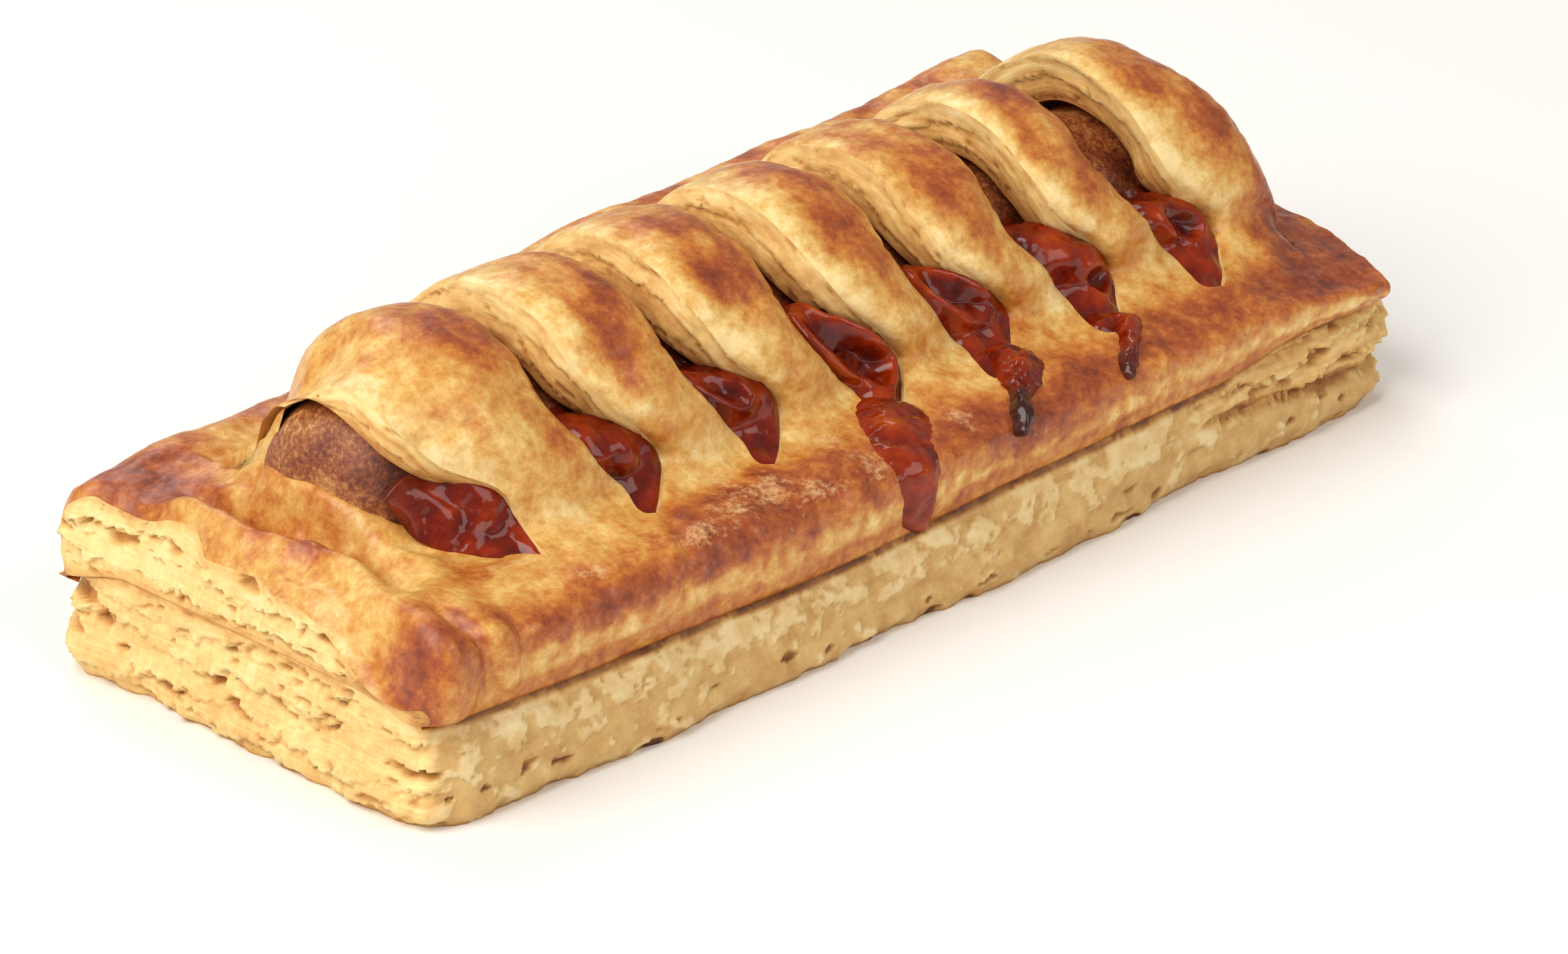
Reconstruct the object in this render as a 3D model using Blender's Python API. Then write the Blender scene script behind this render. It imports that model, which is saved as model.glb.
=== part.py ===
# Slashed puff pastry sausage roll: a bottom sheet, a top sheet whose strips arch over the filling,
# the sausage and the sauce beside it. Metres, +Z up, length along X, slit feet on the -Y side,
# origin on the resting plane under the middle.
import math

import bmesh
import bpy
from mathutils import Matrix, Vector

# ---------------------------------------------------------------- driving sizes
LENGTH = 0.188                # of the top sheet
WIDTH = 0.073
CLEARANCE = 0.0003            # gap kept between neighbouring pieces
SEAM_GAP = 0.0008             # gap between the two sheets, whose facets differ

SAUSAGE_RADIUS = 0.0123
SAUSAGE_AXIS_Y = 0.0003
SAUSAGE_AXIS_Z = 0.0283
SAUSAGE_LEFT = -0.0793
SAUSAGE_RIGHT = 0.0770
SAUSAGE_END = 0.0070          # how far the rounding reaches in from each end

STRIP_OUTER = 0.0203          # radius of a strip's skin about the arch centre
FLANK_SPREAD = 0.0013         # the arch is that much wider at its feet
ARCH_CENTRE_Z = 0.0298
CAVITY_RADIUS = 0.0140        # inside of the arch, about the sausage axis
CAVITY_FEET = (-0.0205, 0.0190)   # y where the hollow meets the seam, front and back
UNDER_EDGE = 0.0350           # how far out the top sheet's underside reaches
FLOOR_Z = 0.0157              # top of the bottom sheet under the sausage

RIGHT_END = 0.0932
SLIT_COUNT = 7
FIRST_SLIT = -0.0645          # front end of the first slit
SLIT_PITCH = 0.0214
SLIT_LEAN = 0.0085            # how far the strips lean back towards -X on their way up
SLIT_NUDGE = (0.0, 0.0005, 0.0008, 0.0010, 0.0013, 0.0006, 0.0002)      # uneven spacing
SLIT_MOUTH = (0.0026, 0.0043, 0.0048, 0.0060, 0.0064, 0.0060, 0.0055)   # half width near the foot
SLIT_CREST = (0.0020, 0.0022, 0.0020, 0.0021, 0.0020, 0.0028, 0.0038)   # half width over the crest
SLIT_END = 0.0006             # half width where a slit closes at the back
FOOT_Y = (-0.0258, -0.0280)   # front end of the slits, in the left and the right half
DOME_START = (0.0630, 0.0720)  # the last strip rounds down to the right border, at its crest and flanks
DOME_END = 0.0830
LEFT_EDGE_DROP = 0.0010       # the strips' edges lie that far below their middle
RIGHT_EDGE_DROP = 0.0027
FIRST_STRIP_DROP = (0.0030, 0.0080)   # the first strip's left edge, at the front and at the back

# heights that change along X, as (x, z) pairs
SEAM_FRONT = ((-0.094, 0.0139), (-0.060, 0.0125), (-0.023, 0.0115), (0.020, 0.0128),
              (0.052, 0.0134), (0.072, 0.0156), (0.094, 0.0150))
SEAM_BACK = ((-0.094, 0.0120), (-0.040, 0.0150), (0.040, 0.0165), (0.094, 0.0150))
RIM_FRONT = ((-0.094, 0.0262), (-0.070, 0.0245), (0.000, 0.0236), (0.060, 0.0232), (0.094, 0.0187))
RIM_BACK = ((-0.094, 0.0252), (-0.078, 0.0268), (-0.058, 0.0265), (-0.030, 0.0325), (0.000, 0.0355),
            (0.050, 0.0360), (0.075, 0.0382), (0.084, 0.0325), (0.094, 0.0262))
# left border from the end face to the first slit, as (share of the way, height)
BORDER_RIDGES = ((0.0, 0.0234), (0.30, 0.0272), (0.62, 0.0248), (1.0, 0.0308))

# mesh fineness
STRIP_CELLS = (0.10, 0.45, 0.80)          # inner columns of a strip, as shares of its width
LAST_STRIP_CELLS = (0.10, 0.35, 0.55, 0.70, 0.80, 0.89)
ARCH_ANGLES = (97, 82, 66, 48, 28, 8, -12, -32, -52, -70)      # from the front foot over to the back
BORDER_CELLS = 5
FLAP_CELLS = 5


# ---------------------------------------------------------------- small helpers
def clamp01(value):
    return min(1.0, max(0.0, value))


def ease(value):
    t = clamp01(value)
    return t * t * (3.0 - 2.0 * t)


def mix(a, b, t):
    return a + (b - a) * t


def along(pairs, x):
    """Height at x on a smooth line through (x, height) pairs."""
    if x <= pairs[0][0]:
        return pairs[0][1]
    for (x0, z0), (x1, z1) in zip(pairs, pairs[1:]):
        if x <= x1:
            return mix(z0, z1, ease((x - x0) / (x1 - x0)))
    return pairs[-1][1]


def quarter(value):
    """Falls from 1 to 0 on a quarter ellipse as value goes from 0 to 1."""
    t = clamp01(value)
    return math.sqrt(max(0.0, 1.0 - t * t))


def make_material(name, colour, roughness):
    material = bpy.data.materials.new(name)
    material.use_nodes = True
    shader = material.node_tree.nodes["Principled BSDF"]
    shader.inputs["Base Color"].default_value = (*colour, 1.0)
    shader.inputs["Roughness"].default_value = roughness
    shader.inputs["Metallic"].default_value = 0.0
    return material


def finish_object(bm, name, material, collection):
    bmesh.ops.recalc_face_normals(bm, faces=bm.faces)
    if bm.calc_volume(signed=True) < 0.0:
        bmesh.ops.reverse_faces(bm, faces=bm.faces)
    mesh = bpy.data.meshes.new(name)
    bm.to_mesh(mesh)
    bm.free()
    mesh.materials.append(material)
    mesh.shade_smooth()
    mesh.set_sharp_from_angle(angle=math.radians(50))
    obj = bpy.data.objects.new(name, mesh)
    collection.objects.link(obj)
    return obj


# ---------------------------------------------------------------- the pastry's section
# A row is one station of the section, from the front seam over the top to the back seam.
FRONT_ROWS = 6
BACK_ROWS = 6
ROWS = FRONT_ROWS + len(ARCH_ANGLES) + BACK_ROWS
FOOT_ROW = FRONT_ROWS - 1
BACK_FOOT_ROW = FRONT_ROWS + len(ARCH_ANGLES)


def seam_height(x, y):
    """Height of the joint between the two sheets, which rises a little under the filling."""
    edge = along(SEAM_FRONT, x) if y < 0 else along(SEAM_BACK, x)
    inwards = ease((WIDTH / 2 - abs(y)) / (WIDTH / 2 - 0.020))
    return mix(edge, FLOOR_Z, inwards)


def front_rim(x):
    """Skin of the front rim from the seam's lip to the foot of the strips."""
    seam = along(SEAM_FRONT, x) + SEAM_GAP / 2
    rim = along(RIM_FRONT, x)
    side = mix(seam, rim, 0.45)
    shoulder = mix(seam, rim, 0.80)
    foot_y = mix(*FOOT_Y, ease((x + 0.025) / 0.035))
    return ((-0.0353, seam), (-0.0365, side), (-0.0358, shoulder), (-0.0332, rim),
            (foot_y - 0.0025, rim - 0.0002), (foot_y, rim - 0.0006))


def back_rim(x):
    """Skin of the back rim from the back foot of the strips to the seam's lip."""
    seam = along(SEAM_BACK, x) + SEAM_GAP / 2
    rim = along(RIM_BACK, x)
    side = mix(seam, rim, 0.40)
    shoulder = mix(seam, rim, 0.82)
    return ((0.0225, rim - 0.0006), (0.0265, rim - 0.0004), (0.0310, rim),
            (0.0348, shoulder), (0.0365, side), (0.0353, seam))


def arch_height(x, angle):
    """1 where the strips arch fully, 0 on the flat right border."""
    start = mix(*DOME_START, ease(abs(angle) / 1.0))
    return quarter((x - start) / (DOME_END - start))


def outer_point(x, row, crown, arched):
    """(y, z) of the skin. crown lowers it, and arched is 0 on the flat left border."""
    front, back = front_rim(x), back_rim(x)
    if row < FRONT_ROWS:
        return front[row]
    if row >= BACK_FOOT_ROW:
        return back[row - BACK_FOOT_ROW]
    angle = math.radians(ARCH_ANGLES[row - FRONT_ROWS])
    radius = STRIP_OUTER - crown + FLANK_SPREAD * ease((abs(angle) - 1.0) / 0.7)
    arch_y = -radius * math.sin(angle)
    arch_z = ARCH_CENTRE_Z + radius * math.cos(angle)
    share = (row - FOOT_ROW) / (BACK_FOOT_ROW - FOOT_ROW)
    flat_y = mix(front[-1][0], back[0][0], share)
    flat_z = mix(front[-1][1], back[0][1], share)
    rise = arched * arch_height(x, angle)
    return mix(flat_y, arch_y, ease(rise * 2.0)), mix(flat_z, arch_z, rise)


def cavity_reach(x):
    """Radius of the hollow for the filling at x, 0 beyond its rounded ends."""
    right = quarter((x - (SAUSAGE_RIGHT - SAUSAGE_END)) / (SAUSAGE_END + 0.0016))
    return CAVITY_RADIUS * right


def inner_point(x, row, hollow):
    """(y, z) of the underside: on the seam at the rims, round the filling between them."""
    if row < FRONT_ROWS:
        y = mix(-UNDER_EDGE, CAVITY_FEET[0], row / FOOT_ROW)
        return y, seam_height(x, y) + SEAM_GAP / 2
    if row >= BACK_FOOT_ROW:
        y = mix(CAVITY_FEET[1], UNDER_EDGE, (row - BACK_FOOT_ROW) / (BACK_ROWS - 1))
        return y, seam_height(x, y) + SEAM_GAP / 2
    angle = math.radians(ARCH_ANGLES[row - FRONT_ROWS])
    flat_y = mix(*CAVITY_FEET, (row - FOOT_ROW) / (BACK_FOOT_ROW - FOOT_ROW))
    reach = cavity_reach(x) * hollow
    wide = 1.0 + 0.22 * ease((abs(angle) - 1.05) / 0.65)      # the hollow widens at its feet
    arch_y = SAUSAGE_AXIS_Y - reach * wide * math.sin(angle)
    arch_z = max(seam_height(x, arch_y) + SEAM_GAP / 2, SAUSAGE_AXIS_Z + reach * math.cos(angle))
    floor = seam_height(x, flat_y) + SEAM_GAP / 2
    open_share = ease(reach / CAVITY_RADIUS * 1.5)
    return mix(flat_y, arch_y, open_share), mix(floor, arch_z, open_share)


# ---------------------------------------------------------------- slits
# Edges that don't repeat, as x per row from the foot row over to the back foot row.
COLLAR = (-0.0652, -0.0680, -0.0715, -0.0755, -0.0785, -0.0798, -0.0801, -0.0801, -0.0798, -0.0790, -0.0775)
FIRST_EDGE = (-0.0640, -0.0634, -0.0655, -0.0725, -0.0765, -0.0780, -0.0780, -0.0775, -0.0770, -0.0765,
              -0.0763)
DOME_CREASE = (0.0760, 0.0790, 0.0820, 0.0830, 0.0830, 0.0830, 0.0830, 0.0830, 0.0830, 0.0825, 0.0810)
LAST_OPEN_ROW = BACK_FOOT_ROW - 1
LEAN = (0.10, -0.09, 0.30, 0.73, 0.92, 0.98, 1.0)             # per row from the foot, as shares of the lean
MOUTH_SHAPE = (0.55, 1.0, 0.90, 0.42, 0.10, 0.0)             # per row from the foot, 1 mouth to 0 crest


def row_value(values, row):
    """Value of a per-row list that starts at the foot row, between rows too."""
    place = min(max(row - FOOT_ROW, 0), len(values) - 1)
    low = min(int(place), len(values) - 2)
    return mix(values[low], values[low + 1], place - low)


def half_width(slit, row):
    if row > LAST_OPEN_ROW or row < FOOT_ROW:
        return SLIT_CREST[slit]
    closing = clamp01(row - LAST_OPEN_ROW + 1)
    crest = mix(SLIT_CREST[slit], SLIT_END, closing)
    return mix(crest, SLIT_MOUTH[slit], row_value(MOUTH_SHAPE, row))


def slit_edge(slit, row, side):
    """x of a slit's left (side -1) or right (side +1) edge at a row."""
    if slit == 0:
        return row_value(COLLAR if side < 0 else FIRST_EDGE, row)
    middle = FIRST_SLIT + slit * SLIT_PITCH + SLIT_NUDGE[slit]
    return middle - SLIT_LEAN * row_value(LEAN, row) + side * half_width(slit, row)


def strip_crown(share, strip, row):
    """How far the skin lies below the full arch, across a strip from its left to its right edge."""
    if strip is None:
        return 0.0
    left = LEFT_EDGE_DROP * (1.0 - ease(share / 0.12))
    if strip == 0:
        drop = mix(*FIRST_STRIP_DROP, ease((row - FOOT_ROW - 5) / 3.0))
        left = drop * (1.0 - ease(share / 0.5))
    rolled = mix(0.25, 1.0, ease((row - FOOT_ROW - 1) / 3.0))
    return left + RIGHT_EDGE_DROP * rolled * ease((share - 0.65) / 0.35)


# ---------------------------------------------------------------- top sheet
def lid_columns():
    """Each column is (x at a row, share across its strip, strip number, share of the left border)."""
    columns = []
    for i in range(BORDER_CELLS + 1):
        share = i / BORDER_CELLS
        columns.append((lambda row, s=share: mix(-LENGTH / 2, slit_edge(0, row, -1), s), 0.0, None, share))
    for strip in range(SLIT_COUNT):
        last = strip == SLIT_COUNT - 1
        cells = LAST_STRIP_CELLS if last else STRIP_CELLS
        for share in (0.0, *cells, 1.0):
            def across(row, n=strip, s=share, is_last=last):
                end = row_value(DOME_CREASE, row) if is_last else slit_edge(n + 1, row, -1)
                return mix(slit_edge(n, row, 1), end, s)
            columns.append((across, share, strip, None))
    for i in range(1, FLAP_CELLS + 1):
        share = i / FLAP_CELLS
        columns.append((lambda row, s=share: mix(row_value(DOME_CREASE, row), RIGHT_END, s), 0.5, None, None))
    return columns


def border_height(share, row, flat_z):
    """Ridges of the left border, fading into the rims at both ends."""
    inside = ease(min(row - FOOT_ROW, BACK_FOOT_ROW - row) / 2.4)
    return mix(flat_z, along(BORDER_RIDGES, share), inside)


def build_lid(material, collection):
    """A flat grid with the slits cut out, given thickness, then laid over the filling."""
    columns = lid_columns()
    slit_columns = {BORDER_CELLS + n * (len(STRIP_CELLS) + 2) for n in range(SLIT_COUNT)}
    bm = bmesh.new()
    bmesh.ops.create_grid(bm, x_segments=len(columns) - 1, y_segments=ROWS - 1, size=0.5)

    def place(vert):
        return round((vert.co.x + 0.5) * (len(columns) - 1)), round((vert.co.y + 0.5) * (ROWS - 1))

    holes = []
    for face in bm.faces:
        column = min(place(vert)[0] for vert in face.verts)
        row = min(place(vert)[1] for vert in face.verts)
        if column in slit_columns and FOOT_ROW <= row < LAST_OPEN_ROW:
            holes.append(face)
    bmesh.ops.delete(bm, geom=holes, context="FACES")
    skin = bm.verts[:]
    under = bmesh.ops.extrude_face_region(bm, geom=bm.faces[:], use_keep_orig=True)
    underside = [item for item in under["geom"] if isinstance(item, bmesh.types.BMVert)]
    for vert in skin:
        column, row = place(vert)
        x_at, share, strip, border = columns[column]
        x = x_at(row)
        y, z = outer_point(x, row, strip_crown(share, strip, row), border is None)
        if border is not None and FOOT_ROW < row < BACK_FOOT_ROW:
            z = border_height(border, row, z)
        vert.co = (x, y, z)
    for vert in underside:
        column, row = place(vert)
        x_at, _, _, border = columns[column]
        x = x_at(row)
        vert.co = (x, *inner_point(x, row, border is None))
    return finish_object(bm, "pastry_lid", material, collection)


# ---------------------------------------------------------------- bottom sheet
BASE_CUTS = (23, 7, 5)          # loop cuts along X, Y and Z
BASE_FRONT = ((0.0, 0.0378), (0.2, 0.0389), (0.5, 0.0374), (0.8, 0.0358), (1.0, 0.0353))   # share up, reach
BASE_BACK = ((0.0, 0.0348), (0.2, 0.0360), (0.6, 0.0363), (1.0, 0.0353))
BASE_LEFT = ((0.0, 0.0945), (0.2, 0.0955), (0.5, 0.0942), (1.0, 0.0938))
BASE_RIGHT = ((0.0, 0.0905), (0.2, 0.0925), (0.45, 0.0905), (0.7, 0.0930), (1.0, 0.0930))
FRONT_NARROWS = 0.0020          # the front foot reaches that much less at the right end
CLEFT_START = 0.045             # the front side opens into a cleft from here to the right end
CLEFT_DEPTH = 0.0032
CLEFT_HEIGHT = 0.0056
CLEFT_HALF = 0.0017


def foot_wave(x):
    """Uneven lower edge of the front side."""
    return 0.0006 * math.sin(x * 95.0) + 0.0004 * math.sin(x * 211.0 + 1.0)


def base_point(across_x, across_y, up):
    """Place of a block's point, given as shares from -1 to 1 across and 0 to 1 up."""
    reach_x = along(BASE_LEFT if across_x < 0 else BASE_RIGHT, up)
    x = across_x * reach_x
    if across_y < 0:
        narrow = FRONT_NARROWS * ease(x / 0.060)
        reach_y = along(BASE_FRONT, up) + (foot_wave(x) - narrow) * (1.0 - up)
    else:
        reach_y = along(BASE_BACK, up)
    y = across_y * reach_y
    level = up * (seam_height(x, y) - SEAM_GAP / 2)
    if across_y < 0:
        opened = ease((x - CLEFT_START) / 0.020) * ease((-across_y - 0.7) / 0.3)
        y += CLEFT_DEPTH * opened * math.exp(-((level - CLEFT_HEIGHT) / CLEFT_HALF) ** 2)
    return x, y, level


def build_base(material, collection):
    bm = bmesh.new()
    bmesh.ops.create_cube(bm, size=2.0)
    for axis, cuts in enumerate(BASE_CUTS):
        edges = [e for e in bm.edges if abs(e.verts[0].co[axis] - e.verts[1].co[axis]) > 1.0]
        bmesh.ops.subdivide_edges(bm, edges=edges, cuts=cuts, use_grid_fill=True)
    for vert in bm.verts:
        vert.co = base_point(vert.co.x, vert.co.y, (vert.co.z + 1.0) / 2.0)
    return finish_object(bm, "pastry_base", material, collection)


# ---------------------------------------------------------------- sausage
def build_sausage(material, collection):
    bm = bmesh.new()
    bmesh.ops.create_uvsphere(bm, u_segments=24, v_segments=13, radius=1.0)
    middle = (SAUSAGE_LEFT + SAUSAGE_RIGHT) / 2
    straight = (SAUSAGE_RIGHT - SAUSAGE_LEFT) / 2 - SAUSAGE_END
    for vert in bm.verts:
        pole, side, up = vert.co.z, vert.co.x, vert.co.y
        x = middle + math.copysign(straight, pole) + pole * SAUSAGE_END
        vert.co = (x, SAUSAGE_AXIS_Y + side * SAUSAGE_RADIUS, SAUSAGE_AXIS_Z + up * SAUSAGE_RADIUS)
    return finish_object(bm, "sausage", material, collection)


# ---------------------------------------------------------------- sauce
# The sauce's section, as (row, radius under a strip, radius in a slit), from its top edge down the
# outside to the floor; the last two entries are the floor's corners.
SAUCE_RADII = ((9, 0.0134, 0.0146), (8, 0.0137, 0.0190), (7, 0.0152, 0.0228), (6, 0.0163, 0.0248))
SAUCE_ANGLE_LOW = 109
SAUCE_LOW = (0.0180, 0.0250)      # radius there under a strip and in a slit
SAUCE_FLOOR_Y = (-0.0188, -0.0080)
SAUCE_SHARES = (-1.0, -0.62, 0.0, 0.62, 1.0)
SAUCE_WALL = 0.0015               # kept from a slit's edge
SAUCE_END = 0.0690


def polar(radius, degrees):
    angle = math.radians(degrees)
    return SAUSAGE_AXIS_Y - radius * math.sin(angle), SAUSAGE_AXIS_Z + radius * math.cos(angle)


def sauce_section(x_of, bulge):
    """Closed loop of points of the sauce: down its outside, along the floor, up the sausage's side."""
    loop = []
    for row, low, high in SAUCE_RADII:
        loop.append((x_of(row), *polar(mix(low, high, bulge), ARCH_ANGLES[row - FRONT_ROWS])))
    loop.append((x_of(FOOT_ROW + 0.5), *polar(mix(*SAUCE_LOW, bulge), SAUCE_ANGLE_LOW)))
    floor = FLOOR_Z + CLEARANCE
    for y in SAUCE_FLOOR_Y:
        loop.append((x_of(FOOT_ROW + 0.3), y, floor))
    touch = SAUSAGE_RADIUS + 0.0004 + CLEARANCE
    for degrees in (140, 122, 106, 90, 76, 62, 48):
        row = FOOT_ROW + 0.5 + 3.5 * clamp01((112 - degrees) / 64)
        loop.append((x_of(row), *polar(touch, degrees)))
    return loop


def sauce_sections():
    sections = []
    for slit in range(SLIT_COUNT):
        for share in SAUCE_SHARES:
            if slit == 0 and share < 0.0:
                continue

            def x_of(row, n=slit, s=share):
                left, right = slit_edge(n, row, -1), slit_edge(n, row, 1)
                if n == 0:
                    return max(left, right) + mix(-0.0016, 0.0006, s)
                room = max((right - left) / 2 - SAUCE_WALL, 0.0001)
                return (left + right) / 2 + s * room
            sections.append(sauce_section(x_of, math.sqrt(1.0 - share * share) if slit else 0.0))
    sections.append(sauce_section(lambda row: SAUCE_END, 0.0))
    return sections


def build_sauce(material, collection):
    bm = bmesh.new()
    rings = [[bm.verts.new(point) for point in section] for section in sauce_sections()]
    for ring, following in zip(rings, rings[1:]):
        for i in range(len(ring)):
            j = (i + 1) % len(ring)
            bm.faces.new((ring[i], ring[j], following[j], following[i]))
    bm.faces.new(rings[0])
    bm.faces.new(reversed(rings[-1]))
    bmesh.ops.triangulate(bm, faces=[f for f in bm.faces if len(f.verts) > 4])
    return finish_object(bm, "sauce", material, collection)


# ---------------------------------------------------------------- the model
def centre_over_origin(objects):
    """Moves the whole so that its box stands centred over the origin, on the resting plane."""
    points = [vert.co for obj in objects for vert in obj.data.vertices]
    low = [min(point[axis] for point in points) for axis in range(3)]
    high = [max(point[axis] for point in points) for axis in range(3)]
    shift = Vector((-(low[0] + high[0]) / 2, -(low[1] + high[1]) / 2, -low[2]))
    for obj in objects:
        obj.data.transform(Matrix.Translation(shift))


def main():
    for obj in list(bpy.data.objects):
        bpy.data.objects.remove(obj, do_unlink=True)
    collection = bpy.data.collections.new("sausage_roll")
    bpy.context.scene.collection.children.link(collection)
    crust = make_material("baked_puff_crust", (0.62, 0.31, 0.09), 0.42)
    pale = make_material("pale_puff_layers", (0.78, 0.55, 0.27), 0.62)
    meat = make_material("browned_sausage", (0.25, 0.10, 0.04), 0.48)
    jam = make_material("sweet_red_sauce", (0.28, 0.03, 0.01), 0.14)
    centre_over_origin([
        build_base(pale, collection),
        build_lid(crust, collection),
        build_sausage(meat, collection),
        build_sauce(jam, collection),
    ])


main()
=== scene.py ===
# A slashed puff pastry sausage roll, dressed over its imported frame.
# Shapes are worked out in millimetres: x along the roll, y across it, z up.
import math

import bpy
import numpy as np
from mathutils import Matrix, Vector


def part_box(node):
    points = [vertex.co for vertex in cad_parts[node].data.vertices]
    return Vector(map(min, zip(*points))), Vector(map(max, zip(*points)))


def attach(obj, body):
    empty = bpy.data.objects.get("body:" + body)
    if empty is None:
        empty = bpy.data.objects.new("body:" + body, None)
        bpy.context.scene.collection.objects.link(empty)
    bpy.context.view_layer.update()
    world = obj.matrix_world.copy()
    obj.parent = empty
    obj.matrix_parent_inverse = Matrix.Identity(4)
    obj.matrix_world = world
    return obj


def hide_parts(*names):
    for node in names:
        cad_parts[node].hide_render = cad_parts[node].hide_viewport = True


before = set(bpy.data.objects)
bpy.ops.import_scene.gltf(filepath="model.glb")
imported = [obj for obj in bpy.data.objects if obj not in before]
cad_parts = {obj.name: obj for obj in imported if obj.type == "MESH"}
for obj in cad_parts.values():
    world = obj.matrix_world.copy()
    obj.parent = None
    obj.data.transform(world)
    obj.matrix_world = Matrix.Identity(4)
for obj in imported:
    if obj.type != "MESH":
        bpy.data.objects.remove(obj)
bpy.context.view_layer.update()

print("frame loaded:", ", ".join(sorted(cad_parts)))


# small helpers for numbers
def mix(a, b, t):
    return a + (b - a) * t


def smooth(t):
    t = np.clip(t, 0.0, 1.0)
    return t * t * (3.0 - 2.0 * t)


def along(pairs, x):
    # value at x on a smooth line through (x, value) pairs
    xs = np.array([pair[0] for pair in pairs], float)
    zs = np.array([pair[1] for pair in pairs], float)
    i = np.clip(np.searchsorted(xs, x) - 1, 0, len(xs) - 2)
    return mix(zs[i], zs[i + 1], smooth((x - xs[i]) / (xs[i + 1] - xs[i])))


def quarter(t):
    t = np.clip(t, 0.0, 1.0)
    return np.sqrt(1.0 - t * t)


def bell(t):
    return np.exp(-t * t)


def cubic(values, place):
    # smooth curve through evenly placed values; values may be (rows, n) with place (n,)
    values = np.asarray(values, float)
    last = values.shape[0] - 1
    place = np.clip(place, 0.0, last)
    i = np.minimum(place.astype(int), last - 1)
    t = place - i
    picks = [np.clip(i + k, 0, last) for k in (-1, 0, 1, 2)]
    if values.ndim == 2:
        n = np.arange(values.shape[1])
        p0, p1, p2, p3 = [values[pick, n] for pick in picks]
    else:
        p0, p1, p2, p3 = [values[pick] for pick in picks]
    return p1 + 0.5 * t * (p2 - p0 + t * (2 * p0 - 5 * p1 + 4 * p2 - p3 + t * (3 * (p1 - p2) + p3 - p0)))


def lump(points, size, seed=0, stretch=(1.0, 1.0, 1.0)):
    # smooth noise from about -1 to 1, its lumps about size mm across, longer where stretch is over 1
    q = np.asarray(points, float) / (size * np.array(stretch)) + 57.31 + seed * 3.17
    cell = np.floor(q).astype(np.int64)
    f = q - cell
    w = f * f * f * (f * (f * 6.0 - 15.0) + 10.0)
    total = np.zeros(len(q))
    for dx in (0, 1):
        for dy in (0, 1):
            for dz in (0, 1):
                h = ((cell[:, 0] + dx) * 73856093) ^ ((cell[:, 1] + dy) * 19349663)
                h = (h ^ ((cell[:, 2] + dz) * 83492791) ^ (seed * 40503 + 977)) & 0xFFFFFFFF
                h = ((h ^ (h >> 15)) * 2246822519) & 0xFFFFFFFF
                h = ((h ^ (h >> 13)) * 3266489917) & 0xFFFFFFFF
                h = h ^ (h >> 16)
                gx = (h & 1023) / 511.5 - 1.0
                gy = ((h >> 10) & 1023) / 511.5 - 1.0
                gz = ((h >> 20) & 1023) / 511.5 - 1.0
                part = gx * (f[:, 0] - dx) + gy * (f[:, 1] - dy) + gz * (f[:, 2] - dz)
                total += part * (w[:, 0] if dx else 1 - w[:, 0]) * (w[:, 1] if dy else 1 - w[:, 1]) \
                    * (w[:, 2] if dz else 1 - w[:, 2])
    return total * 1.5


def lumps(points, size, seed=0, times=3, stretch=(1.0, 1.0, 1.0)):
    # the same noise with finer and weaker noise over it
    total = np.zeros(len(points))
    for k in range(times):
        total += lump(points, size / 2.1 ** k, seed + k * 11, stretch) / 1.9 ** k
    return total


# small helpers for pieces and materials
sausageLow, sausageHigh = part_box("sausage")
sausageMiddle = (np.array(sausageLow) + np.array(sausageHigh)) * 500.0
modelShift = np.array((sausageMiddle[0] + 1.15, sausageMiddle[1] - 0.3, 0.0))    # mm, design to frame


def colour(hexValue):
    # sRGB hex to linear
    parts = [int(hexValue[i:i + 2], 16) / 255.0 for i in (1, 3, 5)]
    return tuple(c / 12.92 if c <= 0.04045 else ((c + 0.055) / 1.055) ** 2.4 for c in parts) + (1.0,)


def addNode(tree, kind, links=None, ramp=None, **settings):
    # links: input name or number to a socket or a plain value; ramp: (place, hex) stops
    node = tree.nodes.new(kind)
    for name, value in settings.items():
        setattr(node, name, value)
    for key, value in (links or {}).items():
        if isinstance(value, bpy.types.NodeSocket):
            tree.links.new(value, node.inputs[key])
        else:
            node.inputs[key].default_value = value
    if ramp:
        stops = node.color_ramp.elements
        while len(stops) < len(ramp):
            stops.new(1.0)
        for stop, (place, tone) in zip(stops, ramp):
            stop.position = place
            stop.color = colour(tone) if isinstance(tone, str) else (tone, tone, tone, 1.0)
    return node


def newMaterial(name):
    material = bpy.data.materials.new(name)
    material.use_nodes = True
    material.node_tree.nodes.clear()
    return material, material.node_tree


def gridQuads(columns, rows, keep=None, offset=0, flip=False):
    # faces of a grid whose vertex number is column * rows + row
    c, r = np.meshgrid(np.arange(columns - 1), np.arange(rows - 1), indexing="ij")
    a = (c * rows + r + offset).reshape(-1)
    quads = np.stack([a, a + rows, a + rows + 1, a + 1], 1)
    if keep is not None:
        quads = quads[keep.reshape(-1)]
    return quads[:, ::-1] if flip else quads


def gridNormals(points):
    # unit normals of a (columns, rows, 3) grid
    across = np.gradient(points, axis=0)
    down = np.gradient(points, axis=1)
    normals = np.cross(across, down)
    return normals / np.maximum(np.linalg.norm(normals, axis=2, keepdims=True), 1e-9)


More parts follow.
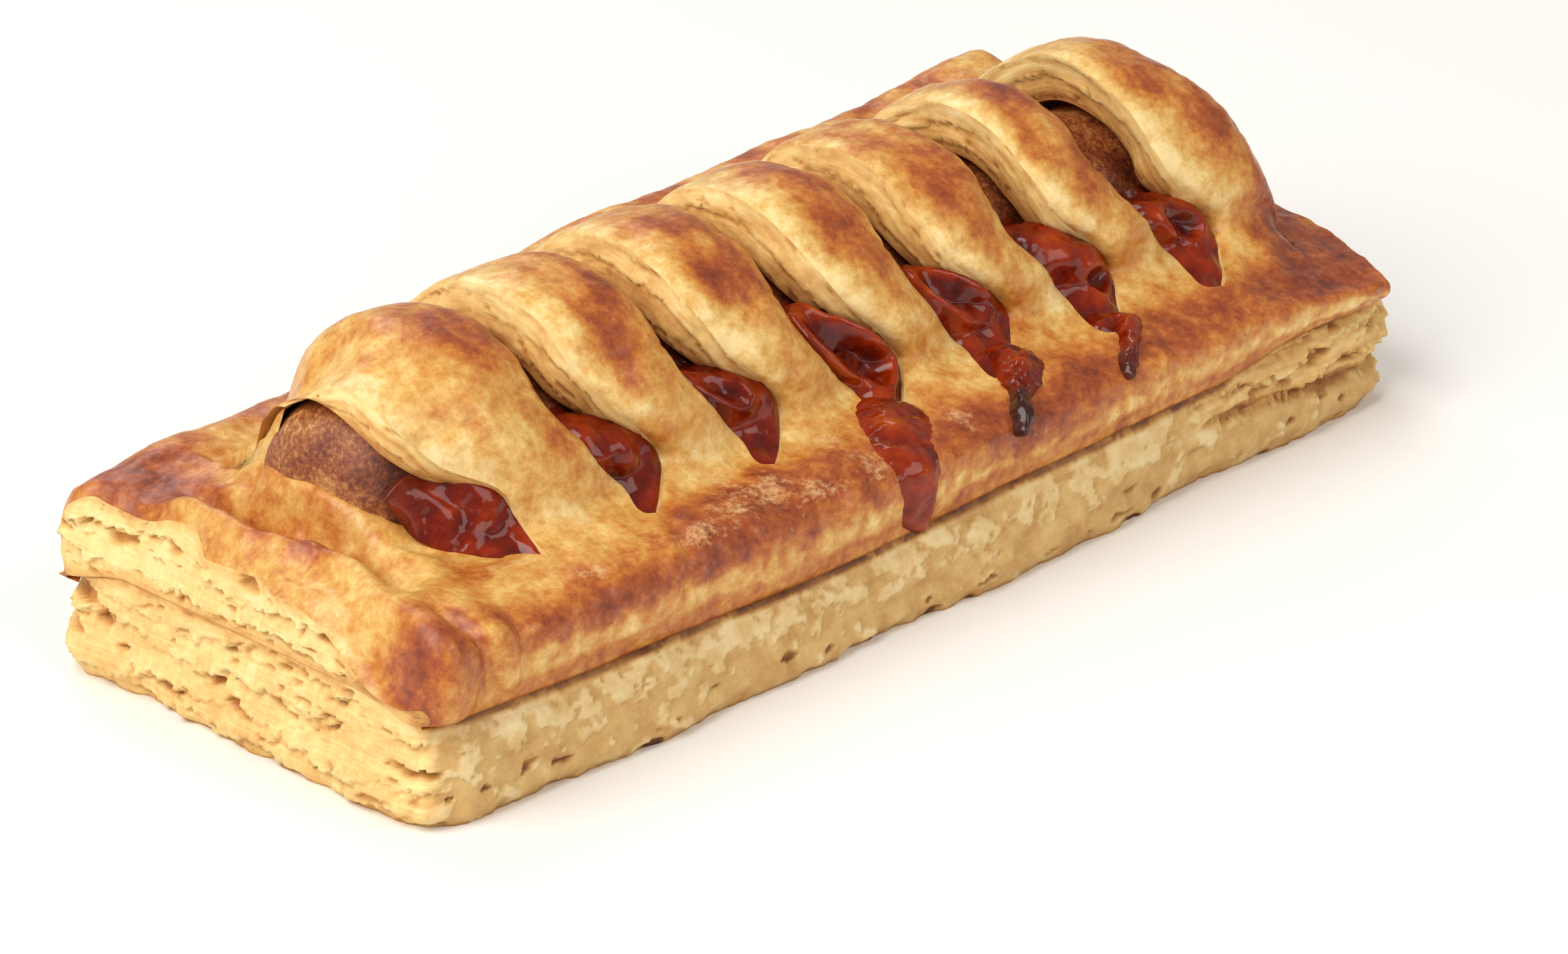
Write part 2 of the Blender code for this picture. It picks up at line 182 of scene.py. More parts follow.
def makePiece(name, points, faces, material, node, tones=None, uv=None):
    mesh = bpy.data.meshes.new(name)
    placed = (np.asarray(points, float).reshape(-1, 3) + modelShift) / 1000.0
    mesh.from_pydata(placed.tolist(), [], faces.tolist() if isinstance(faces, np.ndarray) else faces)
    for title, values in (tones or {}).items():
        layer = mesh.attributes.new(title, "FLOAT", "POINT")
        layer.data.foreach_set("value", np.asarray(values, np.float32).reshape(-1))
    if uv is not None:
        layer = mesh.uv_layers.new(name="layers")
        loops = np.zeros(len(mesh.loops), np.int32)
        mesh.loops.foreach_get("vertex_index", loops)
        layer.data.foreach_set("uv", np.asarray(uv, np.float32).reshape(-1, 2)[loops].reshape(-1))
    mesh.shade_smooth()
    mesh.materials.append(material)
    mesh.update()
    piece = bpy.data.objects.new(name, mesh)
    bpy.context.scene.collection.objects.link(piece)
    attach(piece, "root")
    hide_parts(node)
    print(f"{name}: {len(mesh.polygons)} faces")
    return piece


# the sizes that the whole roll shares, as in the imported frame
roll = dict(
    leftEnd=-94.0, rightEnd=93.2, halfWidth=36.5, seamGap=0.1, floorZ=15.7,
    sausageRadius=12.3, sausageY=0.3, sausageZ=28.3, sausageRight=77.0, sausageEnd=7.0,
    stripOuter=20.3, flankSpread=1.3, archZ=29.8, hollow=14.0, hollowFeet=(-20.5, 19.0), underEdge=35.0,
    slits=7, firstSlitBack=13.2, firstSlit=-64.5, slitPitch=21.4, slitLean=8.5,
    slitNudge=(0.0, 0.5, 0.8, 1.0, 0.7, 0.2, 0.2),
    slitMouth=(2.6, 4.6, 4.8, 6.0, 5.8, 5.6, 5.2),
    slitCrest=(2.0, 2.2, 2.0, 2.1, 2.0, 3.2, 4.5),
    footY=(-25.8, -28.0), domeStart=(63.0, 72.0), domeEnd=83.0,
    seamFront=((-94, 13.9), (-60, 12.5), (-23, 11.5), (20, 12.8), (52, 13.4), (72, 15.6), (94, 15.0)),
    seamBack=((-94, 12.0), (-40, 15.0), (40, 16.5), (94, 15.0)),
    rimFront=((-94, 26.2), (-70, 24.5), (0, 23.6), (60, 23.2), (94, 18.7)),
    rimBack=((-94, 25.2), (-78, 26.8), (-58, 26.5), (-30, 32.5), (0, 35.5), (50, 36.0), (75, 38.2), (84, 32.5),
             (94, 26.2)),
)
archAngles = np.array((97, 82, 66, 48, 28, 8, -12, -32, -52, -70), float)
footRow, backFootRow, lastRow = 5, 16, 21          # stations of the section, from front seam to back seam
slitFront, slitBack = 4.72, 14.4                   # rows between which the slits are open


def seamHeight(x, y):
    edge = np.where(y < 0, along(roll["seamFront"], x), along(roll["seamBack"], x))
    return mix(edge, roll["floorZ"], smooth((roll["halfWidth"] - np.abs(y)) / (roll["halfWidth"] - 20.0)))


def skinRows(x, crown, arched):
    # (y, z) of every station of the skin at each x
    seam = along(roll["seamFront"], x) + roll["seamGap"] / 2
    rim = along(roll["rimFront"], x)
    footY = mix(*roll["footY"], smooth((x + 25.0) / 35.0))
    one = np.ones_like(x)
    rows = [(-35.3 * one, seam), (-36.3 * one, mix(seam, rim, 0.42)), (-36.0 * one, mix(seam, rim, 0.76)),
            (-33.2 * one, rim - 0.6), (footY - 2.5, rim + 0.5), (footY, rim + 1.0)]
    seamB = along(roll["seamBack"], x) + roll["seamGap"] / 2
    rimB = along(roll["rimBack"], x)
    back = [(22.5 * one, rimB - 0.6), (26.5 * one, rimB - 0.4), (31.0 * one, rimB),
            (34.8 * one, mix(seamB, rimB, 0.82)), (36.5 * one, mix(seamB, rimB, 0.40)), (35.3 * one, seamB)]
    for k, degrees in enumerate(archAngles):
        angle = math.radians(degrees)
        radius = roll["stripOuter"] - crown + roll["flankSpread"] * float(smooth((abs(angle) - 1.0) / 0.7))
        start = mix(*roll["domeStart"], float(smooth(abs(angle))))
        rise = arched * quarter((x - start) / (roll["domeEnd"] - start))
        share = (k + 1) / (backFootRow - footRow)
        flatY, flatZ = mix(rows[5][0], back[0][0], share), mix(rows[5][1], back[0][1], share)
        rows.append((mix(flatY, -radius * math.sin(angle), smooth(rise * 2.0)),
                     mix(flatZ, roll["archZ"] + radius * math.cos(angle), rise)))
    rows += back
    return np.stack([r[0] for r in rows]), np.stack([r[1] for r in rows])


def skinAt(x, row, crown=0.0, arched=1.0):
    y, z = skinRows(x, crown, arched)
    return np.stack([x, cubic(y, row), cubic(z, row)], 1)


def underAt(x, row, hollow=1.0):
    # underside of the top sheet: on the seam at the rims, round the filling between them
    rowsY, rowsZ = [], []
    feet, edge = roll["hollowFeet"], roll["underEdge"]
    end = quarter((x - (roll["sausageRight"] - roll["sausageEnd"])) / (roll["sausageEnd"] + 1.6))
    reach = roll["hollow"] * end * hollow
    for k in range(lastRow + 1):
        if k <= footRow or k >= backFootRow:
            y = mix(-edge, feet[0], k / footRow) if k <= footRow else mix(feet[1], edge, (k - backFootRow) / 5)
            y = y * np.ones_like(x)
            z = seamHeight(x, y) + roll["seamGap"] / 2
        else:
            angle = math.radians(archAngles[k - footRow - 1])
            flatY = mix(*feet, (k - footRow) / (backFootRow - footRow))
            wide = 1.0 + 0.22 * float(smooth((abs(angle) - 1.05) / 0.65))
            archY = roll["sausageY"] - reach * wide * math.sin(angle)
            archZ = np.maximum(seamHeight(x, archY) + roll["seamGap"] / 2,
                               roll["sausageZ"] + reach * math.cos(angle))
            opened = smooth(reach / roll["hollow"] * 1.5)
            y = mix(flatY, archY, opened)
            z = mix(seamHeight(x, flatY * np.ones_like(x)) + roll["seamGap"] / 2, archZ, opened)
        rowsY.append(y)
        rowsZ.append(z)
    return np.stack([x, cubic(np.stack(rowsY), row), cubic(np.stack(rowsZ), row)], 1)


# the top sheet: rims, left border, strips and the closed right end
lid = dict(
    collar=(-65.2, -68.0, -71.5, -75.5, -78.5, -79.8, -80.1, -80.1, -79.8, -79.0, -77.5),
    firstEdge=(-64.0, -63.4, -65.5, -72.5, -76.5, -78.0, -78.0, -77.5, -77.0, -76.5, -76.3),
    domeCrease=(76.0, 79.0, 82.0, 83.0, 83.0, 83.0, 83.0, 83.0, 83.0, 82.5, 81.0),
    lean=(0.10, -0.09, 0.30, 0.73, 0.92, 0.98, 1.0, 1.0),
    mouthShape=(0.66, 1.0, 0.96, 0.60, 0.22, 0.04, 0.0), rightMouthShape=(0.64, 1.0, 0.86, 0.40, 0.10, 0.0, 0.0),
    flapEdge=((-37, 89.0), (-31, 91.4), (-22, 93.2), (-8, 92.6), (8, 93.4), (26, 93.0), (37, 90.5)),
    endLean=1.9,             # the slits' front ends bend to the left, mm
    rowSpacing=0.43, borderCells=44, stripCells=35, lastCells=56, flapCells=26, wallCells=18, endCells=44,
    crease=18.5,             # mm in front of the crest where the strips fold over a faint line
)

border = dict(
    # where the left end of the top sheet breaks off: (y, x)
    edge=((-37, -93.2), (-33, -94.4), (-26, -95.0), (-17, -94.8), (-9, -93.2), (-3, -93.6), (5, -94.0), (13, -91.2),
          (22, -91.0),
          (29, -91.6), (34, -94.0), (37, -94.0)),
    # rolls and valleys that run across it: (y, x) line, half width, height in mm
    folds=(
        (((-36, -91.5), (-30, -90.6), (-22, -88.4), (-14, -87.2), (-8, -87.2), (-4, -88.6), (2, -89.8), (14, -89.4),
          (26, -88.0)), 2.3, 3.0),
        (((-36, -84.6), (-28, -84.9), (-18, -84.4), (-8, -82.6), (0, -82.2), (6, -84.4), (14, -84.2), (24, -84.0)),
         1.3, -3.1),
        (((-36, -79.0), (-24, -78.5), (-12, -79.2), (-4, -79.5), (4, -81.6), (14, -81.8), (24, -81.0)), 2.2, 2.0),
    ),
    # single bumps and dents on it: (x, y, half sizes, height)
    bumps=((-90.5, -32.5, 2.8, 4.6, 1.2), (-85.6, -30.5, 1.0, 4.0, -0.9), (-81.5, -32.0, 3.2, 2.6, 0.7),
           (-87.0, 16.0, 1.6, 1.4, 0.5), (-88.5, 27.5, 4.0, 4.5, 0.8), (-76.0, -19.0, 4.5, 2.5, 0.7)),
    level=25.5, lipFrom=0.70, edgeDrop=1.4, droopFrom=-89.3,
    lip=(23.9, 24.5, 25.9, 28.4, 30.1, 31.4, 32.0, 31.9, 31.3, 30.0, 28.0),      # height of the collar
)

rim = dict(
    # folds down the front rim: x at its top, x at the seam, half width, height, from and to (mm in front of the crest)
    folds=((-91.0, -90.5, 3.0, 0.8, 42, 60), (-86.2, -83.2, 0.8, -1.0, 43, 59), (-82.3, -80.6, 2.6, 0.9, 47, 59),
           (-78.2, -77.0, 1.2, -0.6, 47, 59), (-44.5, -53.0, 1.0, -0.5, 39, 56), (46.0, 44.0, 1.2, -0.3, 44, 57)),
    pucker=0.34, puckerPitch=1.9,     # small upright wrinkles low on the rim, mm
)


def slitHalf(n, row):
    crest = roll["slitCrest"][n]
    shape = lid["mouthShape"] if n < 4 else lid["rightMouthShape"]
    half = mix(crest, roll["slitMouth"][n], cubic(shape, row - footRow))
    front = quarter(1.0 - (row - slitFront) / 1.8) ** 1.4
    back = quarter(1.0 - (slitBack - row) / 2.6) ** 1.2
    return np.maximum(half * front * back, 0.12)


def slitEdge(n, row, side):
    if n == 0:
        low, high = cubic(lid["collar"], row - footRow), cubic(lid["firstEdge"], row - footRow)
        closing = quarter(1.0 - (row - slitFront) / 1.6) * quarter(1.0 - (roll["firstSlitBack"] - row) / 0.9)
        half = np.maximum((high - low) / 2 * closing, 0.12)
        return (low + high) / 2 + side * half
    middle = roll["firstSlit"] + n * roll["slitPitch"] + roll["slitNudge"][n]
    wobble = lump(np.stack([row * 3.1, row * 0 + n * 17.0 + side * 5.0, row * 0], 1), 4.0, 5) * 0.45
    inside = smooth((row - slitFront) / 1.5) * smooth((slitBack - row) / 1.5)
    middle = middle - lid["endLean"] * (1.5 if n == 4 else 1.0) * smooth((5.9 - row) / 1.0)
    return middle - roll["slitLean"] * cubic(lid["lean"], row - footRow) + side * slitHalf(n, row) + wobble * inside


def stripCrown(n, share, row):
    # how far the skin lies below the full arch across a strip: rolled over at the right, lower at the left
    rollRight = mix(1.3, 4.2, smooth((row - 6.0) / 3.0))
    t = np.clip((share - 0.52) / 0.48, 0.0, 1.0)
    right = rollRight * (1.0 - np.sqrt(1.0 - np.minimum(t, 0.995) ** 2))
    rollLeft = mix(2.6, 0.7, smooth((row - 7.0) / 2.0))
    t = np.clip((0.26 - share) / 0.26, 0.0, 1.0)
    left = rollLeft * (1.0 - np.sqrt(1.0 - np.minimum(t, 0.99) ** 2))
    if n == 0:
        left = mix(3.0, 8.0, smooth((row - footRow - 5) / 3.0)) * (1.0 - smooth(share / 0.5)) * smooth((row - 5) / 3)
    if n == roll["slits"] - 1:
        right = right * 0.0
    return left + right


def borderPoints(points, share, row):
    x, y = points[:, 0], points[:, 1]
    inside = smooth(np.minimum(row - footRow, backFootRow - row) / 2.4)
    height = np.full_like(x, border["level"])
    for line, wide, tall in border["folds"]:
        height = height + tall * bell((x - along(line, y)) / wide)
    height = mix(height, cubic(border["lip"], row - footRow), smooth((share - border["lipFrom"]) / 0.30))
    points[:, 2] = mix(points[:, 2], height, inside)
    points[:, 2] -= border["edgeDrop"] * (1.0 - smooth(np.full_like(x, share) / 0.11)) * smooth((row - 1.5) / 2.0) \
        * smooth((lastRow - 1.5 - row) / 2.0)
    seam = along(roll["seamFront"], x)
    droop = smooth((border["droopFrom"] - x) / 5.2) * smooth((-y - 13.0) / 19.0)
    points[:, 2] = mix(points[:, 2], np.minimum(points[:, 2], seam + 1.2), 0.93 * droop)
    points[:, 1] *= 1.0 - 0.06 * np.clip((-90.0 - x) / 4.0, 0.0, 1.2) ** 2        # rounded corners
    return points


# stations of the section, evenly spaced round the outside
fine = np.linspace(0.0, lastRow, 4000)
nominal = skinAt(np.zeros_like(fine), fine)
travel = np.concatenate([[0.0], np.cumsum(np.linalg.norm(np.diff(nominal[:, 1:], axis=0), axis=1))])
rowCount = int(travel[-1] / lid["rowSpacing"])
rows = np.interp(np.linspace(0.0, travel[-1], rowCount), travel, fine)
crestTravel = np.interp(11.4, fine, travel)
aroundOf = lambda row: crestTravel - np.interp(row, fine, travel)     # mm in front of the crest

openFrom = int(np.searchsorted(rows, slitFront))
openTo = [int(np.searchsorted(rows, roll["firstSlitBack"] if n == 0 else slitBack)) for n in range(roll["slits"])]


def lidColumns():
    # one (x per row, share, strip, border share) for each column of the skin
    columns = []
    for i in range(lid["borderCells"] + 1):
        share = i / lid["borderCells"]
        ragged = along(border["edge"], skinAt(np.full(rowCount, roll["leftEnd"]), rows)[:, 1])
        columns.append((mix(ragged, slitEdge(0, rows, -1), share), 0.0, -1, share))
    for n in range(roll["slits"]):
        last = n == roll["slits"] - 1
        end = cubic(lid["domeCrease"], rows - footRow) if last else slitEdge(n + 1, rows, -1)
        start = slitEdge(n, rows, 1)
        cells = lid["lastCells"] if last else lid["stripCells"]
        for share in np.linspace(0.0, 1.0, cells + 1):
            columns.append((mix(start, end, share), share, n, -1.0))
    for i in range(1, lid["flapCells"] + 1):
        share = i / lid["flapCells"]
        ragged = along(lid["flapEdge"], skinAt(np.full(rowCount, roll["rightEnd"]), rows)[:, 1])
        columns.append((mix(cubic(lid["domeCrease"], rows - footRow), ragged, share), 0.5, 99, -1.0))
    return columns


def buildSkin():
    columns = lidColumns()
    points = np.zeros((len(columns), rowCount, 3))
    for c, (x, share, strip, border) in enumerate(columns):
        crown = stripCrown(strip, share, rows) if 0 <= strip < 90 else 0.0 * rows
        points[c] = skinAt(x, rows, crown, 0.0 if border >= 0 else 1.0)
        if border >= 0:
            points[c] = borderPoints(points[c], border, rows)
        points[c, :, 1] *= 1.0 - 0.07 * np.clip((points[c, :, 0] - 85.0) / 8.0, 0.0, 1.1) ** 2
    return columns, points


columns, skin = buildSkin()
columnCount = len(columns)
firstOfStrip = [lid["borderCells"] + 1 + n * (lid["stripCells"] + 1) for n in range(roll["slits"])]
around = np.broadcast_to(aroundOf(rows), (columnCount, rowCount))
print(f"top sheet grid: {columnCount} x {rowCount}")


def skinRelief(points, around):
    # how far the baked skin swells or sinks, mm
    p = points.reshape(-1, 3)
    s = around.reshape(-1)
    relief = 0.55 * lump(p, 11.0, 1) + 0.28 * lump(p, 5.0, 2) + 0.14 * lump(p, 2.4, 3) + 0.08 * lump(p, 1.1, 4)
    wrinkle = smooth((s - 50.5) / 2.5) * smooth((59.0 - s) / 1.5)
    relief += rim["pucker"] * wrinkle * lump(np.stack([p[:, 0], s, 0 * s], 1), rim["puckerPitch"], 6, (1.0, 3.2, 1.0))
    for top, low, wide, tall, start, end in rim["folds"]:
        offLine = p[:, 0] - mix(top, low, (s - 44.0) / 15.0)
        relief += tall * bell(offLine / wide) * smooth((s - start) / 2.5) * smooth((end - s) / 2.5)
    crease = bell((s - lid["crease"] - 1.5 * lump(p, 14.0, 7)) / 0.7)
    relief -= 0.22 * crease
    for x, y, wide, deep, tall in border["bumps"]:
        relief += tall * bell((p[:, 0] - x) / wide) * bell((p[:, 1] - y) / deep)
    return relief.reshape(around.shape)


skinNormals = gridNormals(skin)
if skinNormals[columnCount // 2, rowCount // 2, 2] < 0:
    skinNormals = -skinNormals
relief = skinRelief(skin, around)
edgeFade = np.ones((columnCount, rowCount))
edgeFade[:, :3] = np.array((0.0, 0.3, 0.7))
edgeFade[:, -3:] = np.array((0.7, 0.3, 0.0))
skin = skin + skinNormals * (relief * edgeFade)[..., None]

browning = dict(
    # places that took more colour: (along the roll, in front of the crest, half sizes, depth), mm
    patches=(
        (-62, 2, 4.5, 5, 0.50), (-61, 13, 2.5, 3, 0.35), (-53, 24, 3, 5, 0.3), (-57, 8, 5, 3, 0.25),
        (-36, 7, 3, 4, 0.6), (-41, 14, 4.5, 5, 0.6), (-42, 22, 3.5, 3, 0.4), (-39, 30, 2.5, 3, 0.25),
        (-20, 2, 4.5, 4, 0.65), (-19, 14, 5, 4.5, 0.65), (-14.5, 8, 2, 3, 0.3), (-15, 30, 3, 3, 0.3),
        (4, 3, 4.5, 7, 0.5), (3, 13, 4, 4, 0.5), (6, 21, 2.5, 5, 0.5), (11, 33, 2.5, 4, 0.3),
        (18, 0, 3.5, 5, 0.4), (22, 13, 5.5, 5, 0.65), (25, 22, 3, 4, 0.45), (28, 34, 2.5, 4, 0.3),
        (45, 3, 3.5, 5, 0.6), (41, 13, 3.5, 4, 0.45), (47, 20, 3, 5, 0.55), (50, 32, 2.5, 4, 0.3),
        (66, 9, 4, 5, 0.5), (73, 19, 5, 7, 0.5), (80, 33, 4, 6, 0.5), (72, 2, 5, 5, 0.4),
        (-88, 52, 5.5, 7.0, 0.42), (-91, 47, 3, 4, 0.3), (-70, 50.5, 9, 4.0, 0.62), (-58, 50, 7, 5.0, 0.45),
        (-41, 50, 9, 5.5, 0.60), (-26, 49, 12, 6.0, 0.62),
        (-35, 44, 6, 3, 0.35), (-46, 46, 5, 3, 0.25), (-10, 48.5, 9, 6, 0.50), (4, 47, 7, 5, 0.45),
        (16, 51, 10, 5.5, 0.80), (31, 49, 8, 6, 0.55), (28, 42, 4, 3, 0.3), (45, 47.5, 9, 6, 0.58),
        (58, 47, 9, 5, 0.48), (70, 47.5, 7, 5, 0.50), (79, 45, 8, 7, 0.66), (88, 40, 7, 10, 0.66),
        (90, 20, 7, 26, 0.62),
    ),
    # the same on the left end, by its place (x, y, half sizes, depth)
    border=(
        (-86.5, 21, 4.5, 8.0, 0.72), (-90.0, 31, 4.5, 5.0, 0.50), (-80.0, 28, 7.0, 6.0, 0.55),
        (-86.0, 8.5, 1.8, 5.0, 0.55), (-88.5, 1.0, 1.6, 4.0, 0.3), (-87.0, -7.0, 2.6, 4.5, 0.40),
        (-84.5, -3.0, 1.2, 5.0, 0.3), (-89.0, -17, 2.0, 6.0, 0.16), (-75.5, -23, 4.0, 3.0, 0.40),
        (-93.6, -32.5, 1.6, 4.0, 0.62), (-85.2, -31.5, 0.9, 4.0, 0.55), (-79.5, -33.5, 1.6, 3.0, 0.4),
    ),
    frost=((-44, 47.5, 5, 1.6), (-36, 46.0, 4, 2.4), (-29, 45.5, 5, 3.0), (-23, 48, 5, 2.0), (-33, 41, 3, 3.5),
           (-62, 47, 3.5, 1.3), (-14, 42, 3, 3), (-12, 48, 3, 3), (6, 46, 2.0, 3), (-56, 38, 3, 3), (-70, 40, 6, 3),
           (-48, 33, 2.5, 2.5)),
    base=0.255, crest=0.11, flank=-0.04, borderBase=0.03,
)


def brownness(points, around):
    # 0 where the dough stayed pale yellow, 1 where it baked dark brown; at the seam it also holds painted shade of the
    # groove
    p = points.reshape(-1, 3)
    s = around.reshape(-1)
    x = p[:, 0] + 1.8 * lump(p, 6.0, 21) + 0.7 * lump(p, 2.2, 26)
    t = s + 1.8 * lump(p, 6.0, 22) + 0.7 * lump(p, 2.2, 27)
    brown = browning["base"] + browning["crest"] * bell(s / 16.0) + 0.13 * lumps(p, 8.0, 23)
    brown += browning["flank"] * bell((s - 30.0) / 8.0)
    onBorder = smooth((-66.0 - p[:, 0]) / 8.0)
    for px, ps, rx, rs, depth in browning["patches"]:
        d = ((x - px) / rx) ** 2 + ((t - ps) / rs) ** 2
        brown += depth * 0.75 * np.exp(-d * 0.9) * (1.0 if ps > 40 else 1.0 - onBorder)
    y = p[:, 1] + 1.5 * lump(p, 5.0, 28)
    brown += onBorder * browning["borderBase"]
    for px, py, rx, ry, depth in browning["border"]:
        brown += onBorder * depth * 0.75 * np.exp(-0.9 * (((x - px) / rx) ** 2 + ((y - py) / ry) ** 2))
    behind = smooth((-s - 14.0) / 14.0) * (1.0 - onBorder)                    # the back, baked as the front is
    brown += behind * (0.20 + 0.30 * lumps(p, 13.0, 24))
    wrinkle = lump(np.stack([p[:, 0], s, 0 * s], 1), rim["puckerPitch"], 6, (1.0, 3.2, 1.0))
    # the rim's pale lower roll
    low = smooth((t - 53.0 - 2.6 * bell((x - 17.0) / 13.0)) / 1.8) * smooth((57.2 - s) / 1.2) \
        * smooth((x + 81.0) / 3.0)
    brown = mix(brown, 0.25 - 0.30 * wrinkle, 0.80 * low)
    # darker at the foot of the rim, in the groove at the seam: painted shade over the lip's tan colour
    brown = mix(brown, 0.50 + 0.15 * lump(p, 3.0, 29), smooth((s - 56.6) / 1.2))
    return np.where(brown > 0.62, 0.62 + 0.22 * np.tanh((brown - 0.62) / 0.22), brown).reshape(around.shape)


def frosting(points, around):
    # where the egg wash dried in pale crackled marks
    p = points.reshape(-1, 3)
    s = around.reshape(-1)
    frost = np.zeros(len(p))
    for px, ps, rx, rs in browning["frost"]:
        frost = np.maximum(frost, np.exp(-((p[:, 0] - px) / rx) ** 2 - ((s - ps) / rs) ** 2))
    return frost.reshape(around.shape)


brown = brownness(skin, around)
frost = frosting(skin, around)
# the strips' left edges stay pale, their right edges take more colour
for n in range(roll["slits"]):
    first = firstOfStrip[n]
    cells = lid["lastCells"] if n == roll["slits"] - 1 else lid["stripCells"]
    share = np.linspace(0.0, 1.0, cells + 1)[:, None]
    up = (smooth((36.0 - around[0]) / 12.0) * smooth((rows - 4.0) / 2.0) * smooth((14.5 - rows) / 3.0))[None, :]
    brown[first:first + cells + 1] += up * (-0.24 * (1.0 - smooth(share / 0.40)) + 0.10 * smooth((share - 0.45) / 0.4))


def crustMaterial():
    # puff dough brushed with egg and baked: clear golden yellow that breaks up into orange and brown
    material, tree = newMaterial("eggWashedPuffCrust")
    place = addNode(tree, "ShaderNodeTexCoord").outputs["Object"]
    baked = addNode(tree, "ShaderNodeAttribute", attribute_name="brown").outputs["Fac"]
    dried = addNode(tree, "ShaderNodeAttribute", attribute_name="frost").outputs["Fac"]
    mottle = addNode(tree, "ShaderNodeTexNoise", {"Vector": place, "Scale": 270.0, "Detail": 6.0, "Roughness": 0.66})
    fleck = addNode(tree, "ShaderNodeTexNoise", {"Vector": place, "Scale": 820.0, "Detail": 5.0, "Roughness": 0.72})
    first = addNode(tree, "ShaderNodeMath", {0: mottle.outputs["Fac"], 1: 0.95, 2: baked}, operation="MULTIPLY_ADD")
    second = addNode(tree, "ShaderNodeMath", {0: fleck.outputs["Fac"], 1: 0.60, 2: first.outputs[0]},
                     operation="MULTIPLY_ADD")
    tone = addNode(tree, "ShaderNodeMath", {0: second.outputs[0], 1: 0.775}, operation="SUBTRACT")
    eggWash = addNode(tree, "ShaderNodeValToRGB", {"Fac": tone.outputs[0]},
                      ramp=((0.0, "#EFD393"), (0.15, "#E4BA6D"), (0.32, "#D39A4A"), (0.50, "#C1742B"),
                            (0.68, "#A44F1C"), (0.86, "#833614"), (1.0, "#5E2410")))
    crackle = addNode(tree, "ShaderNodeTexNoise", {"Vector": place, "Scale": 800.0, "Detail": 7.0, "Roughness": 0.80})
    dust = addNode(tree, "ShaderNodeMath", {0: dried, 1: 0.20, 2: crackle.outputs["Fac"]}, operation="MULTIPLY_ADD")
    crust = addNode(tree, "ShaderNodeMapRange", {"Value": dust.outputs[0], 1: 0.61, 2: 0.78, 3: 0.0, 4: 0.75})
    look = addNode(tree, "ShaderNodeMix", {"Factor": crust.outputs[0], "A": eggWash.outputs["Color"],
                                           "B": colour("#E0B47C")}, data_type="RGBA")
    ridge = addNode(tree, "ShaderNodeTexNoise", {"Vector": place, "Scale": 1500.0, "Detail": 5.0})
    soft = addNode(tree, "ShaderNodeTexNoise", {"Vector": place, "Scale": 420.0, "Detail": 3.0})
    bump = addNode(tree, "ShaderNodeBump", {"Strength": 0.55, "Distance": 0.0003, "Height": soft.outputs["Fac"]})
    fineBump = addNode(tree, "ShaderNodeBump", {"Strength": 0.50, "Distance": 0.0001, "Height": ridge.outputs["Fac"],
                                                "Normal": bump.outputs[0]})
    gloss = addNode(tree, "ShaderNodeMapRange", {"Value": fleck.outputs["Fac"], 1: 0.3, 2: 0.7, 3: 0.38, 4: 0.56})
    shader = addNode(tree, "ShaderNodeBsdfPrincipled",
                     {"Base Color": look.outputs["Result"], "Roughness": gloss.outputs[0],
                      "Normal": fineBump.outputs[0], "IOR": 1.45, "Coat Weight": 0.25, "Coat Roughness": 0.25,
                      "Subsurface Weight": 0.06, "Subsurface Radius": (0.9, 0.5, 0.2), "Subsurface Scale": 0.001})
    addNode(tree, "ShaderNodeOutputMaterial", {"Surface": shader.outputs[0]})
    return material


